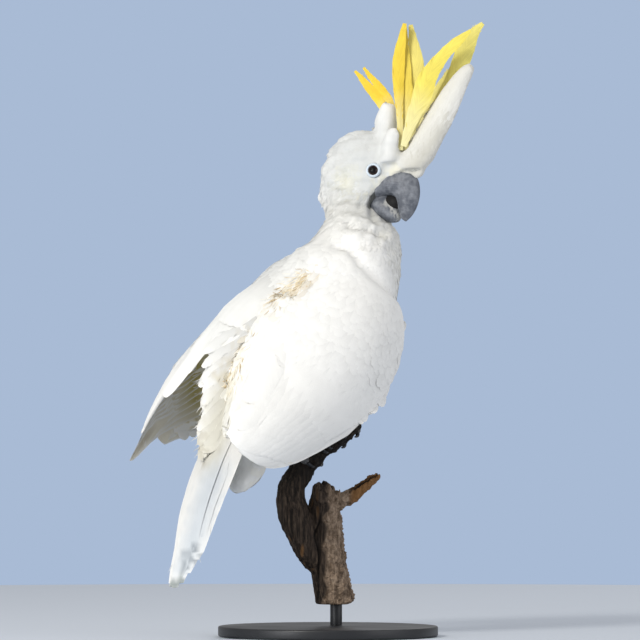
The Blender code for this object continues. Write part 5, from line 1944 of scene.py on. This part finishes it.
@dataclass
class Branch:
    """The cut length of dead branch: split grey wood, rough bark, a dark crack and a broken side stub.

    Across is the level way from its bare side to its barked one.
    """

    finish: Material
    voxel: float = 0.0011
    across_way: tuple = (0.743, -0.669, 0.0)
    crack_way: tuple = (-0.669, -0.743, 0.0)  # the side that the long crack is on
    stretch: tuple = (1.0, 1.0, 0.14)  # what turns even lumps to long grain
    bark_edge: float = -0.004  # how far across the bark begins
    bark_top: float = 0.150
    crack_across: float = -0.010
    crack_top: float = 0.125
    crack_width: float = 0.0018
    crack_depth: float = 0.0022
    stub_box: tuple = (0.020, 0.118, 0.180)  # how far across and up it begins, and its top
    stub_line: tuple = ((0.031, 0.0, 0.151), (0.864, 0.0, 0.503))  # a place and a way, across and up
    slit_width: float = 0.0012
    break_box: tuple = (-0.024, 0.012, 0.138, 0.160)  # of the broken top: from and to across, and upwards
    splinter: float = 0.0055
    flat_foot: float = 0.0015  # how much of its cut foot stays smooth

    def build(self) -> None:
        """Refine the plain solid, carve its surface and store what its finish shows."""
        branch = merged_copy("perch", "branch")
        apply_modifier(branch, "REMESH", mode="VOXEL", voxel_size=self.voxel)
        apply_modifier(branch, "SMOOTH", factor=0.5, iterations=4)
        mesh = branch.data
        points, normals = vertices(mesh), vertex_normals(mesh)
        across, up = points @ np.array(self.across_way), points[:, 2]
        bark, stub = self.covers(points, across)
        crack = self.cracks(points, normals, across, stub)
        height = self.relief(points, bark) - self.crack_depth * crack
        height[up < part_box("perch")[0][2] + self.flat_foot] = 0.0
        moved = points + normals * height[:, None]
        moved[:, 2] += self.splinters(points, across)
        move_vertices(mesh, moved)
        low = np.clip((self.bark_top - up) / 0.02, 0, 1)
        fresh = np.clip(ripple(points * self.stretch, 11 * MM, 15) - 0.85, 0, 0.6) * (1 - bark) * low
        # the cracks are painted near-black, painted shade in their recesses; the top is painted darker too
        # and stored with them
        dark_top = 0.72 * np.clip((up - 0.142) / 0.02, 0, 1) * (1 - stub)
        store(mesh, "bark", bark)
        store(mesh, "fresh", np.clip(fresh + stub * 0.85, 0, 1))
        store(mesh, "crack", np.maximum(crack, dark_top))
        dress(branch, self.finish)
        finish_piece(branch, "dead_wood", "perch")

    def covers(self, points: Array, across: Array) -> tuple[Array, Array]:
        """How much of each point is bark, and how much is the side stub."""
        first, low, high = self.stub_box
        up = points[:, 2]
        bark = np.clip((across - self.bark_edge + 0.003 * ripple(points, 14 * MM, 8)) / 0.004, 0, 1)
        bark *= np.clip((self.bark_top - up) / 0.006, 0, 1)
        stub = np.clip((across - first) / 0.006, 0, 1) * np.clip((up - low) / 0.008, 0, 1) * (up < high)
        return bark * (1 - stub), stub

    def cracks(self, points: Array, normals: Array, across: Array, stub: Array) -> Array:
        """How deep the long crack and the stub's slit are at each point, from 0 to 1."""
        place, way = np.array(self.stub_line)
        off = np.abs(across - self.crack_across + 0.002 * ripple(points * (0, 0, 1), 30 * MM, 14))
        crack = np.clip(1 - off / self.crack_width, 0, 1) * (normals @ np.array(self.crack_way) > 0.3)
        crack *= np.clip((self.crack_top - points[:, 2]) / 0.01, 0, 1)
        flat = np.stack([across, 0 * across, points[:, 2]], axis=1) - place
        slit = np.abs(np.cross(flat, way)[:, 1]) - 0.0010 * (1 + ripple(points, 5 * MM, 16))
        return np.maximum(crack, stub * np.clip(1 - slit / self.slit_width, 0, 1) * 0.9)

    def relief(self, points: Array, bark: Array) -> Array:
        """How far the surface stands out: long grain in bare wood, lumps and pits in bark."""
        stretched = points * self.stretch
        grain = ripple(stretched, 2.6 * MM, 9) * 0.00035 + ripple(stretched, 6 * MM, 10) * 0.0006
        lumps = ripple(points, 9 * MM, 11) * 0.0010 + ripple(points, 4 * MM, 12) * 0.0006
        pits = -0.0016 * np.clip(ripple(points, 6 * MM, 13) - 0.9, 0, 1)
        return grain * (1 - bark) + (lumps + pits) * bark

    def splinters(self, points: Array, across: Array) -> Array:
        """How far the broken top's splinters rise at each point."""
        first, last, low, high = self.break_box
        up = points[:, 2]
        top = np.clip((up - low) / 0.005, 0, 1) * (across > first) * (across < last) * (up < high)
        return np.clip(ripple(points * (1, 1, 0.05), 8 * MM, 17) + 0.2, 0, 1.0) * self.splinter * top


@dataclass
class DisplayStand:
    """The round steel base and the rod up into the branch."""

    finish: Material
    base_edge: float = 0.0016
    rod_edge: float = 0.0002

    def turned(self, name: str, node: str, inset: float) -> None:
        """A round piece with eased edges that fills the node's box.

        Args:
            name: The piece's name.
            node: The CAD node that it stands for.
            inset: The width of the eased edge.
        """
        low, high = (np.array(corner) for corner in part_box(node))
        centre, size = (low + high) / 2, high - low
        bpy.ops.object.select_all(action="DESELECT")
        bpy.ops.mesh.primitive_cylinder_add(
            vertices=128, radius=size[0] / 2, depth=size[2], location=centre.tolist(), end_fill_type="NGON",
        )
        obj = added(name)
        apply_modifier(
            obj, "BEVEL", width=inset, segments=4, limit_method="ANGLE", angle_limit=math.radians(50),
        )
        obj.data.materials.append(self.finish)
        select_only(obj)
        bpy.ops.object.shade_smooth_by_angle(angle=math.radians(35))
        finish_piece(obj, "stand_black", node)

    def build(self) -> None:
        """Make the base and the rod."""
        self.turned("base_disc", "stand_base", self.base_edge)
        self.turned("rod", "stand_rod", self.rod_edge)


# ---------- studio


@dataclass(frozen=True)
class PaintFinish(Finish):
    """The floor's plain matt paint."""

    def pattern(self, tree: NodeTree, place: NodeSocket) -> dict:
        """What the shader takes."""
        return {"Base Color": "#CBD2DC", "Roughness": 0.9}


def looking(way: Array) -> Euler:
    """How a camera or a lamp is turned to look that way."""
    return Vector(way.tolist()).to_track_quat("-Z", "Y").to_euler()


@dataclass
class Studio:
    """A pale floor, soft light from the upper left, and the camera."""

    azimuth: float = math.radians(-42.0)
    distance: float = 8.0
    height: float = 0.316
    lens: float = 450.0
    aim_right: float = -0.008
    lamps: tuple = (  # back to the camera, right and up from the aim, power, size and colour
        ("key", 2.1, -1.5, 1.40, 48.5, 0.6, "#FFFBF3"),
        ("bounce", 1.5, -1.6, -0.15, 21.0, 1.0, "#F4F6FA"),
        ("fill", 1.2, 2.2, 0.2, 19.0, 2.0, "#FBFBFF"),
        ("rim", -1.8, 0.8, 1.6, 12.0, 1.2, "#FFFFFF"),
    )

    def axes(self) -> tuple[Array, Array]:
        """The camera's right and the way back from the bird to it."""
        right = np.array((math.cos(self.azimuth), math.sin(self.azimuth), 0.0))
        return right, np.array((right[1], -right[0], 0.0))

    def build(self) -> None:
        """Set the camera, the lamps, the floor and the surroundings."""
        right, back = self.axes()
        aim = np.array((0.0, 0.0, self.height)) + right * self.aim_right
        data = bpy.data.cameras.new("camera")
        data.lens, data.sensor_width = self.lens, 36.0
        camera = linked("camera", data)
        camera.location = aim + back * self.distance
        camera.rotation_euler = looking(-back)
        bpy.context.scene.camera = camera
        for name, off_back, off_right, up, power, size, colour in self.lamps:
            place = aim + back * off_back + right * off_right + np.array((0, 0, up))
            self.lamp(name, place, aim, power, size, colour)
        self.surroundings()
        self.floor()
        bpy.context.scene.view_settings.view_transform = "Standard"

    @staticmethod
    def lamp(name: str, place: Array, aim: Array, power: float, size: float, colour: str) -> None:
        """Hang a square soft lamp that looks at the bird."""
        data = bpy.data.lights.new(name, "AREA")
        data.energy, data.size, data.color = power, size, to_linear(colour)
        lamp = linked(name, data)
        lamp.location = place
        lamp.rotation_euler = looking(aim - place)

    @staticmethod
    def surroundings() -> None:
        """A plain pale blue-grey backdrop that lights the bird softly and evenly."""
        world = bpy.data.worlds.new("studio")
        world.use_nodes = True
        tree = world.node_tree
        backdrop = fill(tree.nodes["Background"], {"Color": "#A9BBD5"})
        soft = add_node(tree, "Background", {"Color": "#EEF0F4", "Strength": 0.50})
        path = add_node(tree, "LightPath")
        mix = add_node(tree, "MixShader", {0: path.outputs["Is Camera Ray"], 1: soft, 2: backdrop})
        fill(tree.nodes["World Output"], {"Surface": mix})
        bpy.context.scene.world = world

    @staticmethod
    def floor() -> None:
        """A plain pale floor."""
        bpy.ops.object.select_all(action="DESELECT")
        bpy.ops.mesh.primitive_circle_add(vertices=96, radius=1.6, fill_type="NGON", location=(0, 0, -0.0005))
        obj = bpy.context.view_layer.objects.active
        obj.name = obj.data.name = "floor"
        obj.data.materials.append(PaintFinish("painted floor").make())


def main() -> None:
    """Build the bird, its branch and its stand, piece by piece."""
    logging.basicConfig(level=logging.INFO, format="%(name)s %(message)s")
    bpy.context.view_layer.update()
    plumage = PlumageFinish("white feather").make()
    quills = PlumageFinish("long white feather", streaks=0.10).make()
    yellow = PlumageFinish("yellow crest feather", mottle_mm=9.0, streaks=0.5).make()
    horn = HornFinish("bill horn", "#585C64", "#9EA1A7").make()
    lining = HornFinish("mouth lining", "#0B0A0B", "#1A1819", dust=0.2, roughness=0.75).make()
    claw = HornFinish("claw horn", "#15161A", "#43464C", dust=0.25, layer_mm=1.5, roughness=0.3).make()

    skin = Skin(plumage).build()
    Coat(Surface(skin), plumage).build()
    flight = "wing_right_flight", "wing_left_flight"
    FlightFeathers(RIGHT_SHEET, RIGHT_ROWS, quills, flight[:1], 1.5).build("right_flight_feathers")
    FlightFeathers(LEFT_SHEET, LEFT_ROWS, quills, flight[1:], 0.4).build("left_flight_feathers")
    FlightFeathers(BACK_SHEET, BACK_ROWS, plumage).build("back_feathers")
    FlightFeathers(BAND_SHEET, BAND_ROWS, plumage).build("left_folded_edge_feathers")
    LongPlumage(quills).build()
    Crest(yellow).build()
    Bill(horn, lining).build()
    Eyes(EyeFinish("wet eye").make(), LidFinish("bare eye skin").make()).build()
    Feet(ScaleFinish("scaly foot skin").make(), claw).build()
    Branch(DeadWoodFinish("dead wood and bark").make()).build()
    DisplayStand(StandFinish("satin black powder coat").make()).build()
    Studio().build()


if __name__ == "__main__":
    main()
